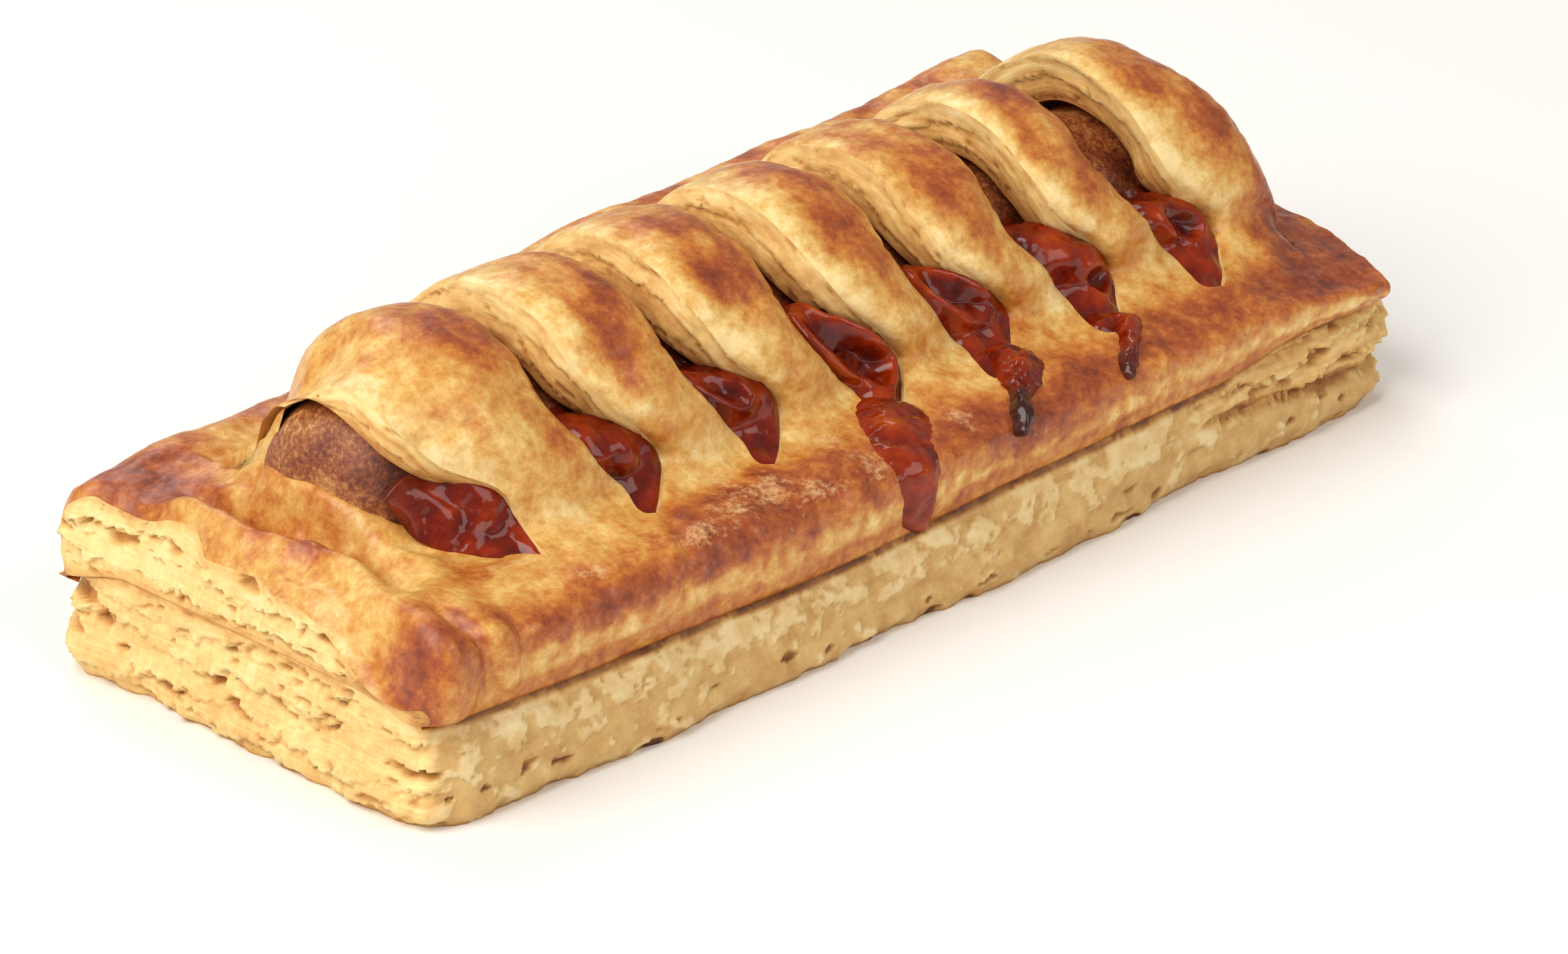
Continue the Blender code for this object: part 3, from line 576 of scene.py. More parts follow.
def layersMaterial():
    # the torn inside of puff dough: pale cream layers, tan where they are pressed together or baked on the tray; the
    # brown tone it reads also holds painted shade in cells, pits and hollows and painted light on torn edges
    material, tree = newMaterial("pulledPuffLayers")
    place = addNode(tree, "ShaderNodeTexCoord").outputs["Object"]
    grain = addNode(tree, "ShaderNodeUVMap", uv_map="layers").outputs["UV"]
    drawn = addNode(tree, "ShaderNodeMapping", {"Vector": grain, "Scale": (0.16, 2.2, 1.0)}).outputs[0]
    lines = addNode(tree, "ShaderNodeTexNoise", {"Vector": drawn, "Scale": 1.0, "Detail": 5.0, "Roughness": 0.65})
    blot = addNode(tree, "ShaderNodeTexNoise", {"Vector": place, "Scale": 420.0, "Detail": 6.0, "Roughness": 0.68})
    # the brown tone: the layers' colour together with painted shade and painted light from the cut faces and broken
    # ends
    depth = addNode(tree, "ShaderNodeAttribute", attribute_name="brown").outputs["Fac"]
    side = addNode(tree, "ShaderNodeAttribute", attribute_name="side").outputs["Fac"]
    calm = addNode(tree, "ShaderNodeMapRange", {"Value": side, 3: 0.42, 4: 0.10}).outputs[0]     # few layers on the sides
    first = addNode(tree, "ShaderNodeMath", {0: lines.outputs["Fac"], 1: calm, 2: depth}, operation="MULTIPLY_ADD")
    second = addNode(tree, "ShaderNodeMath", {0: blot.outputs["Fac"], 1: 0.55, 2: first.outputs[0]},
                     operation="MULTIPLY_ADD")
    evened = addNode(tree, "ShaderNodeMath", {0: calm, 1: -0.5, 2: second.outputs[0]}, operation="MULTIPLY_ADD")
    tone = addNode(tree, "ShaderNodeMath", {0: evened.outputs[0], 1: 0.20}, operation="SUBTRACT")
    inner = addNode(tree, "ShaderNodeValToRGB", {"Fac": tone.outputs[0]},
                    ramp=((0.0, "#F6DFA6"), (0.18, "#F0CF8A"), (0.36, "#E0B26A"), (0.56, "#C88E4B"),
                          (0.78, "#A16636"), (1.0, "#6E3B20")))
    outer = addNode(tree, "ShaderNodeValToRGB", {"Fac": tone.outputs[0]},
                    ramp=((0.0, "#EBD6A6"), (0.20, "#E2C690"), (0.38, "#D2AC6C"), (0.58, "#BC8C4E"),
                          (0.80, "#94602F"), (1.0, "#5A3018")))
    look = addNode(tree, "ShaderNodeMix", {"Factor": side, "A": inner.outputs["Color"], "B": outer.outputs["Color"]},
                   data_type="RGBA")
    bump = addNode(tree, "ShaderNodeBump", {"Strength": 0.6, "Distance": 0.00025, "Height": second.outputs[0]})
    shader = addNode(tree, "ShaderNodeBsdfPrincipled",
                     {"Base Color": look.outputs["Result"], "Roughness": 0.6, "Normal": bump.outputs[0], "IOR": 1.45,
                      "Subsurface Weight": 0.1, "Subsurface Radius": (1.0, 0.6, 0.25), "Subsurface Scale": 0.001})
    addNode(tree, "ShaderNodeOutputMaterial", {"Surface": shader.outputs[0]})
    return material


crust = crustMaterial()
layers = layersMaterial()

keep = np.ones((columnCount - 1, rowCount - 1), bool)
for n in range(roll["slits"]):
    keep[firstOfStrip[n] - 1, openFrom:openTo[n]] = False
# the lip turns in under the rims
tucked = np.zeros((columnCount, rowCount + 2, 3))
tucked[:, 1:-1] = skin
tucked[:, 0] = skin[:, 0] + (0.0, 2.4, 0.15)
tucked[:, -1] = skin[:, -1] + (0.0, -2.4, 0.15)
keepTucked = np.ones((columnCount - 1, rowCount + 1), bool)
keepTucked[:, 1:-1] = keep
tuckedBrown, tuckedFrost = [np.concatenate([tone[:, :1], tone, tone[:, -1:]], 1) for tone in (brown, frost)]
makePiece("topSheetSkin", tucked, gridQuads(columnCount, rowCount + 2, keepTucked, flip=True), crust,
          "pastry_lid", {"brown": tuckedBrown, "frost": tuckedFrost})


# the underside and the cut faces of the top sheet
cutFace = dict(
    layer=0.24, pit=0.5, pitFrom=0.46, ledge=0.95, ledgePitch=3.4, wave=0.35, leftBulge=0.25, rightBulge=0.30,
    flare=(0.3, 0.9, 0.9, 0.8, 0.5, -0.9, -2.4),      # how far each right cut face leans out at its foot, mm
    # the broken ends: depth of big and small cells, of drawn strands and of fine layers, mm
    cell=1.5, smallCell=0.6, strand=0.22, endLayer=0.22, curtain=1.5, curtainPitch=4.4,
)


def wallGrid(top, bottom, cells, outward, bulge, seed, alongIt):
    # rows of points from a skin edge down to the underside's edge, pushed out in fine layers
    d = np.linspace(0.0, 1.0, cells + 1)[:, None, None]
    grid = mix(top[None], bottom[None], d)
    deep = np.linalg.norm(bottom - top, axis=1)
    u = np.broadcast_to(alongIt, grid.shape[:2])
    w = d[..., 0] * deep[None]
    flat = np.stack([u, w + 0.35 * np.sin(u * 0.55 + seed), np.full_like(u, seed * 9.0)], 2).reshape(-1, 3)
    inside = np.sin(np.pi * np.clip(d[..., 0], 0, 1)) ** 0.6
    layer = lump(flat, 1.15, seed, (12.0, 1.0, 1.0)) + 0.6 * lump(flat, 0.6, seed + 1, (9.0, 1.0, 1.0))
    layer = layer.reshape(u.shape)
    pits = smooth((lump(flat, 1.0, seed + 2, (3.4, 0.8, 1.0)) - cutFace["pitFrom"]) / 0.2).reshape(u.shape)
    push = bulge * inside + inside * (cutFace["layer"] * layer - cutFace["pit"] * pits)
    push += inside * cutFace["wave"] * lump(flat, 4.0, seed + 3, (1.6, 1.0, 1.0)).reshape(u.shape)
    # sheets that tore one below the other, each with a ragged lower edge
    warp = 0.75 * lump(flat, 9.0, seed + 5, (2.2, 1.0, 1.0)) + 0.16 * lump(flat, 1.3, seed + 6) \
        + 0.08 * lump(flat, 0.6, seed + 7)
    torn = ((w / cutFace["ledgePitch"]).reshape(-1) + warp) % 1.0
    much = np.clip(0.6 + 0.8 * lump(flat, 8.0, seed + 8, (2.0, 1.0, 1.0)), 0.1, 1.0)
    push += inside * cutFace["ledge"] * ((torn - 0.5) * much).reshape(u.shape)
    grid = grid + push[..., None] * outward
    under, fringe = [(bell(value / 0.10) * much).reshape(u.shape) for value in (torn, 1.0 - torn)]
    # painted shade in the pits, below each torn ledge and towards the foot of the face, where the pressed layers are
    # also tan; painted light on the ragged ledge edges that stand out
    shade = 0.14 + 0.30 * pits - 0.20 * layer + 0.36 * d[..., 0] ** 1.2 \
        + 0.10 * lump(flat, 5.0, seed + 4).reshape(u.shape)
    shade = shade + 0.22 * under - 0.18 * fringe
    return grid, np.stack([u, w], 2), shade * np.ones_like(u)


def openCells(points, toSeam, inside, seed):
    # the dough's broken inside: cells drawn out between thin webs, fine layers along the skin and the seam
    p = points.reshape(-1, 3).copy()
    p[:, 0] = 0.0
    p[:, 2] += 0.9 * lump(p, 7.0, seed + 8)
    shape = points.shape[:2]
    big = lumps(p, 3.4, seed, 2, (1.0, 1.8, 0.75))
    small = lumps(p, 1.5, seed + 3, 2, (1.0, 2.2, 0.7))
    opened = smooth((big - 0.42) / 0.22)
    pricked = smooth((small - 0.40) / 0.16) * smooth((lump(p, 11.0, seed + 11) + 0.15) / 0.3)
    strands = lump(p, 0.75, seed + 6, (1.0, 1.0, 5.0))
    fine = lump(p, 0.55, seed + 5, (1.0, 14.0, 1.0)) + 0.7 * lump(p, 0.9, seed + 12, (1.0, 9.0, 1.0))
    near = bell(toSeam.reshape(-1) / 1.2)
    calm = 1.0 - 0.9 * near
    crumb = 0.30 * lump(p, 2.2, seed + 14, (1.0, 1.0, 1.4)) + 0.20 * lump(p, 0.95, seed + 15, (1.0, 1.0, 1.6))
    # sheets that hang out over hollows and end in drawn fringes
    warp = 0.85 * lump(p, 9.0, seed + 8, (1.0, 1.7, 1.0)) + 0.30 * lump(p, 1.7, seed + 16, (1.0, 0.8, 2.2)) \
        + 0.12 * lump(p, 0.8, seed + 17, (1.0, 0.8, 2.0))
    hang = (p[:, 2] / cutFace["curtainPitch"] + warp) % 1.0
    much = np.clip(0.50 + 1.1 * lump(p, 6.0, seed + 9, (1.0, 1.6, 1.0)), 0.05, 1.0) * calm
    fringe, hollow = bell(hang / 0.14) * much, bell((1.0 - hang) / 0.16) * much
    push = 0.35 + 0.50 * lump(p, 6.5, seed + 13, (1.0, 1.6, 0.8)) + crumb * calm \
        + cutFace["curtain"] * (0.45 - hang) * much
    push -= (cutFace["cell"] * opened + cutFace["smallCell"] * pricked) * calm
    push += cutFace["strand"] * strands * much + cutFace["endLayer"] * fine * (0.1 + near) - 0.35 * near
    # painted shade in the cells, the pricks and the hollows under hanging sheets, painted light on the fringes; the tan
    # band by the seam is the pressed layers' own colour
    shade = 0.12 + 0.34 * opened * calm + 0.30 * pricked * calm + 0.30 * hollow - 0.14 * fringe - 0.10 * strands * much
    shade += 0.22 * near * smooth((p[:, 1] + 30.0) / 20.0) - 0.07 * fine * (0.2 + near) + 0.10 * lump(p, 8.0, seed + 7)
    return (push.reshape(shape) * inside), shade.reshape(shape)


pieces = []           # points, faces, shade and uv of the cut faces
underColumns = []
alongStrip = -aroundOf(rows)


def addGrid(grid, uv, shade, flip):
    offset = sum(len(part[0]) for part in pieces)
    quads = gridQuads(grid.shape[0], grid.shape[1], offset=offset, flip=flip)
    pieces.append((grid.reshape(-1, 3), quads, shade.reshape(-1), uv.reshape(-1, 2)))


def flareOf(n):
    upper = smooth((70.0 - np.degrees(np.interp(rows, np.arange(6, 16), np.radians(archAngles)))) / 25.0)
    return cutFace["flare"][n] * upper * smooth((rows - 5.5) / 1.5)


underEdges = {}
for n in range(roll["slits"]):
    leftX, rightX = slitEdge(n, rows, -1), slitEdge(n, rows, 1) - flareOf(n)
    underEdges[(n, -1)] = underAt(np.minimum(leftX, rightX - 0.1), rows, 0.0 if n == 0 else 1.0)
    underEdges[(n, 1)] = underAt(rightX, rows, 1.0)

for n in range(roll["slits"]):
    first = firstOfStrip[n]
    openRows = slice(openFrom, openTo[n] + 1)
    grid, uv, shade = wallGrid(skin[first - 1, openRows], underEdges[(n, -1)][openRows], lid["wallCells"],
                               np.array((1.0, 0.0, 0.0)), cutFace["rightBulge"], 40 + n * 7, alongStrip[openRows])
    addGrid(grid, uv, shade + 0.15, False)
    grid, uv, shade = wallGrid(skin[first, openRows], underEdges[(n, 1)][openRows], lid["wallCells"],
                               np.array((-1.0, 0.0, 0.0)), cutFace["leftBulge"], 43 + n * 7, alongStrip[openRows])
    addGrid(grid, uv, shade, True)

leftUnder = underAt(np.full(rowCount, roll["leftEnd"]), rows, 0.0)
rightUnder = underAt(skin[-1, :, 0] - 0.3, rows, 1.0)
rightUnder[:, 1] = np.clip(rightUnder[:, 1], skin[-1, :, 1].min() + 1.5, skin[-1, :, 1].max() - 1.5)


def endGrid(top, bottom, cells, side, seed):
    # a broken end of the top sheet, from the skin's edge down to the seam
    d = np.linspace(0.0, 1.0, cells + 1)[:, None, None]
    grid = mix(top[None], bottom[None], d)
    toSeam = grid[..., 2] - bottom[None, :, 2]
    inside = smooth(d[..., 0] / 0.06) * smooth((1.0 - d[..., 0]) / 0.03) * np.ones(grid.shape[:2])
    push, shade = openCells(grid, toSeam, inside, seed)
    # the sheet thins to the skin at the near corner
    thick = smooth((top[None, :, 2] - bottom[None, :, 2] - 1.0) / 4.0) * np.ones(grid.shape[:2])
    push = push * thick
    skinned = bell((top[None, :, 2] - grid[..., 2]) / 1.0)
    grid = grid + push[..., None] * np.array((side, 0.0, 0.0))
    uv = np.stack([grid[..., 1], -grid[..., 2]], 2)
    return grid, uv, shade + 0.16 * skinned + 0.22 * (1.0 - thick)


addGrid(*endGrid(skin[0], leftUnder, lid["endCells"], -1.0, 91), True)
addGrid(*endGrid(skin[-1], rightUnder, lid["endCells"] // 2, 1.0, 97), False)

# underside, three columns of cells a strip, in line with the cut faces
def underBlock(leftEdge, rightEdge, hollowLeft, hollowRight):
    grid = np.stack([leftEdge] + [underAt(mix(leftEdge[:, 0], rightEdge[:, 0], s), rows,
                                          mix(hollowLeft, hollowRight, s)) for s in (0.33, 0.67)] + [rightEdge])
    shade = np.full(grid.shape[:2], 0.35)
    uv = np.stack([np.broadcast_to(alongStrip, grid.shape[:2]), grid[..., 0]], 2)
    addGrid(grid, uv, shade, False)


underBlock(leftUnder, underEdges[(0, -1)], 0.0, 0.0)
for n in range(roll["slits"] - 1):
    underBlock(underEdges[(n, 1)], underEdges[(n + 1, -1)], 1.0, 1.0)
underBlock(underEdges[(roll["slits"] - 1, 1)], rightUnder, 1.0, 1.0)

makePiece("topSheetCutFaces", np.concatenate([part[0] for part in pieces]),
          np.concatenate([part[1] for part in pieces]), layers, "pastry_lid",
          {"brown": np.concatenate([part[2] for part in pieces]),
           "side": np.zeros(sum(len(part[0]) for part in pieces))},
          np.concatenate([part[3] for part in pieces]))


# the bottom sheet
base = dict(
    front=((0.0, 37.6), (0.18, 38.7), (0.45, 38.0), (0.78, 37.0), (0.90, 35.9), (1.0, 35.2)),
    back=((0.0, 34.8), (0.2, 36.0), (0.6, 36.3), (1.0, 35.3)),
    left=((0.0, 94.5), (0.2, 95.5), (0.5, 94.2), (1.0, 93.8)),
    right=((0.0, 88.8), (0.2, 90.6), (0.36, 90.0), (0.5, 93.4), (0.72, 94.0), (1.0, 92.6)),
    narrows=2.0, cleftStart=44.0, cleftDepth=2.2, cleftHeight=(8.6, 6.2), cleftHalf=0.75,
    recess=1.3,              # how far the open layers stand back between the cleft and the flap, mm
    lobe=1.6,                # how far the left end sticks out at the back, mm
    spacing=0.42, levels=40, cornerPower=16.0, lumpy=0.6,
)


def basePoints(acrossX, acrossY, up):
    rounding = (np.abs(acrossX) ** base["cornerPower"] + np.abs(acrossY) ** base["cornerPower"]) \
        ** (-1.0 / base["cornerPower"])
    acrossX, acrossY = acrossX * rounding, acrossY * rounding
    x = acrossX * np.where(acrossX < 0, along(base["left"], up), along(base["right"], up))
    narrow = base["narrows"] * smooth(x / 60.0)
    wave = 0.6 * np.sin(x * 0.095) + 0.4 * np.sin(x * 0.211 + 1.0)
    front = along(base["front"], up) + (wave - narrow) * (1.0 - up)
    y = acrossY * np.where(acrossY < 0, front, along(base["back"], up))
    z = up * (seamHeight(x, y) - roll["seamGap"] / 2)
    opened = smooth((x - base["cleftStart"]) / 14.0) * smooth((-acrossY - 0.7) / 0.3)
    height = mix(*base["cleftHeight"], smooth((x - 50.0) / 40.0)) + 0.35 * np.sin(x * 0.5)
    y = y + base["cleftDepth"] * opened * bell((z - height) / base["cleftHalf"])
    y = y + base["recess"] * opened * smooth((z - height) / 1.0) * smooth((x - 50.0) / 10.0)
    x = x - base["lobe"] * (x < 0) * bell((y - 30.0) / 5.0) * bell((up - 0.38) / 0.25)
    return np.stack([x, y, z], 1)


def buildBase():
    n = int(188.0 / base["spacing"])
    m = int(74.0 / base["spacing"])
    t, u = np.linspace(-1, 1, n, endpoint=False), np.linspace(-1, 1, m, endpoint=False)
    ringX = np.concatenate([t, np.ones(m), -t, -np.ones(m)])
    ringY = np.concatenate([-np.ones(n), u, np.ones(n), -u])
    count = len(ringX)
    levels = np.linspace(0.0, 1.0, base["levels"])
    grid = np.zeros((count, base["levels"], 3))
    for k, up in enumerate(levels):
        grid[:, k] = basePoints(ringX, ringY, np.full(count, up))
    normals = gridNormals(np.concatenate([grid[-1:], grid, grid[:1]]))[1:-1]
    if normals[n // 2, 20, 1] > 0:
        normals = -normals
    shape = grid.shape[:2]
    flat = grid.reshape(-1, 3)
    up = np.broadcast_to(levels[None, :], shape)
    ends = smooth((np.abs(normals[..., 0]) - 0.45) * 2.5)
    inside = smooth(up / 0.10) * smooth((1.0 - up) / 0.05)
    # sides: thin flakes, thick under the seam and few below, over a lumpy smooth skin
    cover = mix(0.34, -0.22, smooth((up - 0.38) / 0.40)) + 0.5 * smooth((up - 0.90) / 0.06)
    flake = smooth((lumps(flat, 3.2, 61, 4, (1.15, 1.0, 1.0)).reshape(shape) - cover) / 0.16)
    coarse = lump(flat, 9.0, 68, (1.5, 1.5, 1.0)).reshape(shape)
    middling = lump(flat, 3.4, 69, (1.2, 1.2, 0.9)).reshape(shape)
    crackle = lump(flat, 1.1, 70).reshape(shape)
    holes = smooth((lump(flat, 2.2, 75, (1.6, 1.0, 0.7)) - 0.50) / 0.10).reshape(shape) * smooth((0.5 - up) / 0.2)
    push = (1 - ends) * (0.30 * flake + base["lumpy"] * coarse + 0.28 * middling + 0.10 * crackle * flake - 0.8 * holes)
    endPush, endShade = openCells(grid, seamHeight(grid[..., 0], grid[..., 1]) - grid[..., 2], 1.0, 91)
    push = inside * (push + ends * endPush)
    ragged = (0.9 * lump(flat, 6.0, 76, (1.0, 1.0, 3.0)) + 0.5 * lump(flat, 1.9, 77, (1, 1, 3))).reshape(shape)
    ragged = (1.0 - up) ** 3 * ragged
    grid = grid + normals * push[..., None]
    grid[..., 1] += ragged * (1 - ends) * np.sign(grid[..., 1])
    grid[..., 0] += ragged * ends * np.sign(grid[..., 0])
    grid[..., 2] = np.maximum(grid[..., 2], 0.0)
    height = mix(*base["cleftHeight"], smooth((grid[..., 0] - 50.0) / 40.0))
    frontSide = (grid[..., 1] < 0) * (1 - ends)
    layered = smooth((grid[..., 0] - 44.0) / 12.0) * smooth((grid[..., 2] - height + 0.6) / 0.8) * frontSide
    layered = layered * smooth((up - 0.30) / 0.10)
    torn = lump(flat, 0.8, 141, (10.0, 1.0, 1.0)) + 0.8 * lump(flat, 2.2, 142, (2.4, 1.0, 0.6))
    torn = torn.reshape(shape)
    tears = smooth((lumps(flat, 2.4, 143, 2, (2.6, 1.0, 0.7)).reshape(shape) - 0.38) / 0.12)
    warp = 0.8 * lump(flat, 8.0, 144, (2.5, 1.0, 1.0)) + 0.22 * lump(flat, 1.4, 145) + 0.1 * lump(flat, 0.7, 146)
    warp = warp.reshape(shape)
    hang = (grid[..., 2] / 3.0 + warp) % 1.0                        # torn sheets, as on the cut faces
    grid = grid + normals * (layered * inside * (0.30 * torn - 0.9 * tears + 1.1 * (0.5 - hang)))[..., None]
    # for colour only: painted shade in the hollow under each hanging sheet and painted light on its fringe
    torn = torn - 1.6 * bell((1.0 - hang) / 0.14) + 0.8 * bell(hang / 0.14)
    # the holes are darker: painted shade in them
    brown = (1 - ends) * (mix(0.37, 0.17, flake) - 0.12 * middling - 0.06 * crackle * flake + 0.45 * holes)
    brown += ends * (0.05 + endShade)
    # the tears in the layered part are darker: painted shade in them
    brown = mix(brown, 0.27 - 0.14 * torn + 0.36 * tears, layered)
    # darker along the cleft under the flap: painted shade in the groove
    brown += 0.45 * bell((grid[..., 2] - height) / 0.7) * smooth((grid[..., 0] - 50.0) / 12.0) * frontSide
    # the band at the top of the bottom sheet, in the groove under the lid, is darker: painted shade over its tan
    # colour; darker along the bottom edge too
    brown += (1 - ends) * 0.48 * smooth((up - 0.90) / 0.07) + 0.18 * smooth(1.0 - up / 0.05)
    brown = np.clip(brown, 0.0, 1.0)
    uv = np.stack([np.where(np.abs(ringY)[:, None] >= 1.0, grid[..., 0], grid[..., 1]), -grid[..., 2]], 2)
    rings = [grid]
    for shrink in (0.9, 0.6, 0.25):
        rings.insert(0, (grid[:, :1] * (shrink, shrink, 0.0)))
    for shrink in (0.9, 0.6, 0.25):
        top = grid[:, -1:] * (shrink, shrink, 1.0)
        top[..., 2] = seamHeight(top[..., 0], top[..., 1]) - roll["seamGap"] / 2
        rings.append(top)
    whole = np.concatenate(rings, 1)
    tall = whole.shape[1]
    brown = np.concatenate([np.full((count, 3), 0.5), brown, np.full((count, 3), 0.3)], 1)
    uv = np.concatenate([np.repeat(uv[:, :1], 3, 1), uv, np.repeat(uv[:, -1:], 3, 1)], 1)
    quads = gridQuads(count, tall)
    r = np.arange(tall - 1)
    closing = np.stack([(count - 1) * tall + r, r, r + 1, (count - 1) * tall + r + 1], 1)
    faces = np.concatenate([quads, closing]).tolist()
    faces.append([c * tall for c in range(count)][::-1])
    faces.append([c * tall + tall - 1 for c in range(count)])
    ends = np.concatenate([np.repeat(ends[:, :1], 3, 1), ends, np.repeat(ends[:, -1:], 3, 1)], 1)
    layered = np.concatenate([np.repeat(layered[:, :1], 3, 1), layered, np.repeat(layered[:, -1:], 3, 1)], 1)
    return makePiece("bottomSheet", whole, faces, layers, "pastry_base",
                     {"brown": brown, "side": (1.0 - ends) * (1.0 - 0.7 * layered)}, uv)


buildBase()


# the sausage
sausage = dict(lengthCells=320, roundCells=150, capCells=24, left=-80.8, leftCap=9.0, blunt=2.3, swell=1.0, skew=0.10)


def sausageMaterial():
    # roasted sausage skin: brown over grey-tan meat, with fine dark specks and a greasy sheen
    material, tree = newMaterial("roastedSausageSkin")
    place = addNode(tree, "ShaderNodeTexCoord").outputs["Object"]
    patchy = addNode(tree, "ShaderNodeTexNoise", {"Vector": place, "Scale": 170.0, "Detail": 4.0, "Roughness": 0.6})
    specks = addNode(tree, "ShaderNodeTexNoise", {"Vector": place, "Scale": 1300.0, "Detail": 5.0, "Roughness": 0.78})
    roasted = addNode(tree, "ShaderNodeAttribute", attribute_name="brown").outputs["Fac"]
    first = addNode(tree, "ShaderNodeMath", {0: specks.outputs["Fac"], 1: 1.7, 2: roasted}, operation="MULTIPLY_ADD")
    second = addNode(tree, "ShaderNodeMath", {0: patchy.outputs["Fac"], 1: 0.8, 2: first.outputs[0]},
                     operation="MULTIPLY_ADD")
    look = addNode(tree, "ShaderNodeValToRGB", {"Fac": addNode(tree, "ShaderNodeMath", {0: second.outputs[0], 1: 0.97},
                                                               operation="SUBTRACT").outputs[0]},
                   ramp=((0.05, "#D8AE74"), (0.24, "#BC8450"), (0.42, "#A0602F"), (0.60, "#834020"), (0.82, "#542414")))
    bump = addNode(tree, "ShaderNodeBump", {"Strength": 0.55, "Distance": 0.00022, "Height": specks.outputs["Fac"]})
    shader = addNode(tree, "ShaderNodeBsdfPrincipled",
                     {"Base Color": look.outputs["Color"], "Roughness": 0.38, "Normal": bump.outputs[0], "IOR": 1.45,
                      "Subsurface Weight": 0.08, "Subsurface Radius": (1.0, 0.4, 0.2), "Subsurface Scale": 0.001})
    addNode(tree, "ShaderNodeOutputMaterial", {"Surface": shader.outputs[0]})
    return material


def buildSausage():
    turn = np.linspace(0, 2 * math.pi, sausage["roundCells"], endpoint=False)
    quarterTurn = np.linspace(0.03, math.pi / 2, sausage["capCells"])
    power = 2.0 / sausage["blunt"]
    tubeStart, tubeEnd = sausage["left"] + sausage["leftCap"], roll["sausageRight"] - roll["sausageEnd"]
    capL = [(tubeStart - sausage["leftCap"] * math.cos(a) ** power, math.sin(a) ** power) for a in quarterTurn[:-1]]
    capR = [(tubeEnd + roll["sausageEnd"] * math.cos(a), math.sin(a)) for a in quarterTurn[:-1]][::-1]
    tube = [(x, 1.0) for x in np.linspace(tubeStart, tubeEnd, sausage["lengthCells"])]
    profile = np.array(capL + tube + capR)
    radius = profile[:, 1] * (roll["sausageRadius"] + sausage["swell"] * smooth((-60.0 - profile[:, 0]) / 10.0))
    grid = np.zeros((len(turn), len(profile), 3))
    grid[..., 0] = profile[:, 0]
    grid[..., 1] = roll["sausageY"] - radius * np.sin(turn)[:, None]
    grid[..., 2] = roll["sausageZ"] + radius * np.cos(turn)[:, None]
    out = grid - (0.0, roll["sausageY"], roll["sausageZ"])
    out[..., 0] = 0.0
    out = out / np.maximum(np.linalg.norm(out, axis=2, keepdims=True), 1e-6)
    flat = grid.reshape(-1, 3)
    dents = lump(flat, 8.0, 71)
    push = 0.55 * dents + 0.25 * lump(flat, 3.0, 72, (1.6, 1.0, 1.0)) + 0.07 * lump(flat, 1.0, 73)
    push = push.reshape(grid.shape[:2])
    grid = grid + out * (push * np.minimum(radius / 6.0, 1.0))[..., None]
    atEnd = smooth((-70.0 - grid[..., 0]) / 5.0)
    grid[..., 0] += atEnd * (0.4 * lump(flat, 6.0, 74).reshape(grid.shape[:2]) - sausage["skew"] * grid[..., 1])
    # the end and the upper edge took the most heat; from x -62 on, under the strips, it is darker as painted shade
    brown = 0.30 * bell((grid[..., 0] + 74.0) / 3.5) + 0.16 * lump(flat, 5.0, 78).reshape(grid.shape[:2]) \
        + 0.22 * bell((grid[..., 2] - 34.0) / 4.0) + 0.26 * smooth((grid[..., 0] + 62.0) / 14.0)
    count, tall = grid.shape[:2]
    quads = gridQuads(count, tall)
    r = np.arange(tall - 1)
    closing = np.stack([(count - 1) * tall + r, r, r + 1, (count - 1) * tall + r + 1], 1)
    faces = np.concatenate([quads, closing]).tolist()
    faces.append([c * tall for c in range(count)][::-1])
    faces.append([c * tall + tall - 1 for c in range(count)])
    return makePiece("sausageInSkin", grid, faces, sausageMaterial(), "sausage", {"brown": brown})


buildSausage()


# the sauce in the slits
sauce = dict(
    across=44, down=130,
    # for each slit: row where the sauce ends at the top, how far it lies below the skin at the foot (share)
    topRow=(8.3, 8.6, 8.6, 8.9, 8.7, 8.7, 8.0),
    sunk=(0.12, 0.16, 0.12, 0.16, 0.02, 0.04, 0.10),
    spent=(0.42, 0.05, 0.05, 0.10, 0.10, 0.10, 0.10),      # what is left of its depth at the top
    # pits that the bubbling left: (slit, across, row, half sizes, depth)
    pits=((3, -0.02, 6.9, 0.40, 0.95, 3.2), (4, 0.10, 7.2, 0.40, 0.62, 2.4), (5, 0.25, 6.1, 0.30, 0.30, 1.2),
          (2, -0.1, 7.2, 0.30, 0.4, 1.0), (6, 0.1, 6.6, 0.35, 0.4, 1.2)),
    # what ran out over the rim: (along the roll, in front of the crest, half width) down its middle, thickness, burnt
    runs=(("sauceRun4", ((0.8, 38.0, 4.4), (-1.4, 41.0, 4.9), (-4.2, 44.5, 5.0), (-6.2, 49.0, 4.6), (-6.2, 53.5, 3.6),
                         (-5.6, 57.5, 3.1), (-5.4, 60.4, 2.4)), 0.75, 0.0),
          ("sauceDrip5", ((24.0, 37.5, 3.6), (21.6, 41.0, 3.9), (18.9, 44.4, 3.3), (16.4, 47.2, 1.8),
                          (14.4, 49.9, 1.9), (12.3, 52.6, 1.1)), 1.2, 1.0),
          ("sauceDrip6", ((44.2, 40.0, 3.0), (41.6, 43.5, 2.2), (38.6, 46.6, 1.5), (36.2, 49.2, 1.5),
                          (34.8, 51.4, 0.8)), 1.0, 0.9)),
)


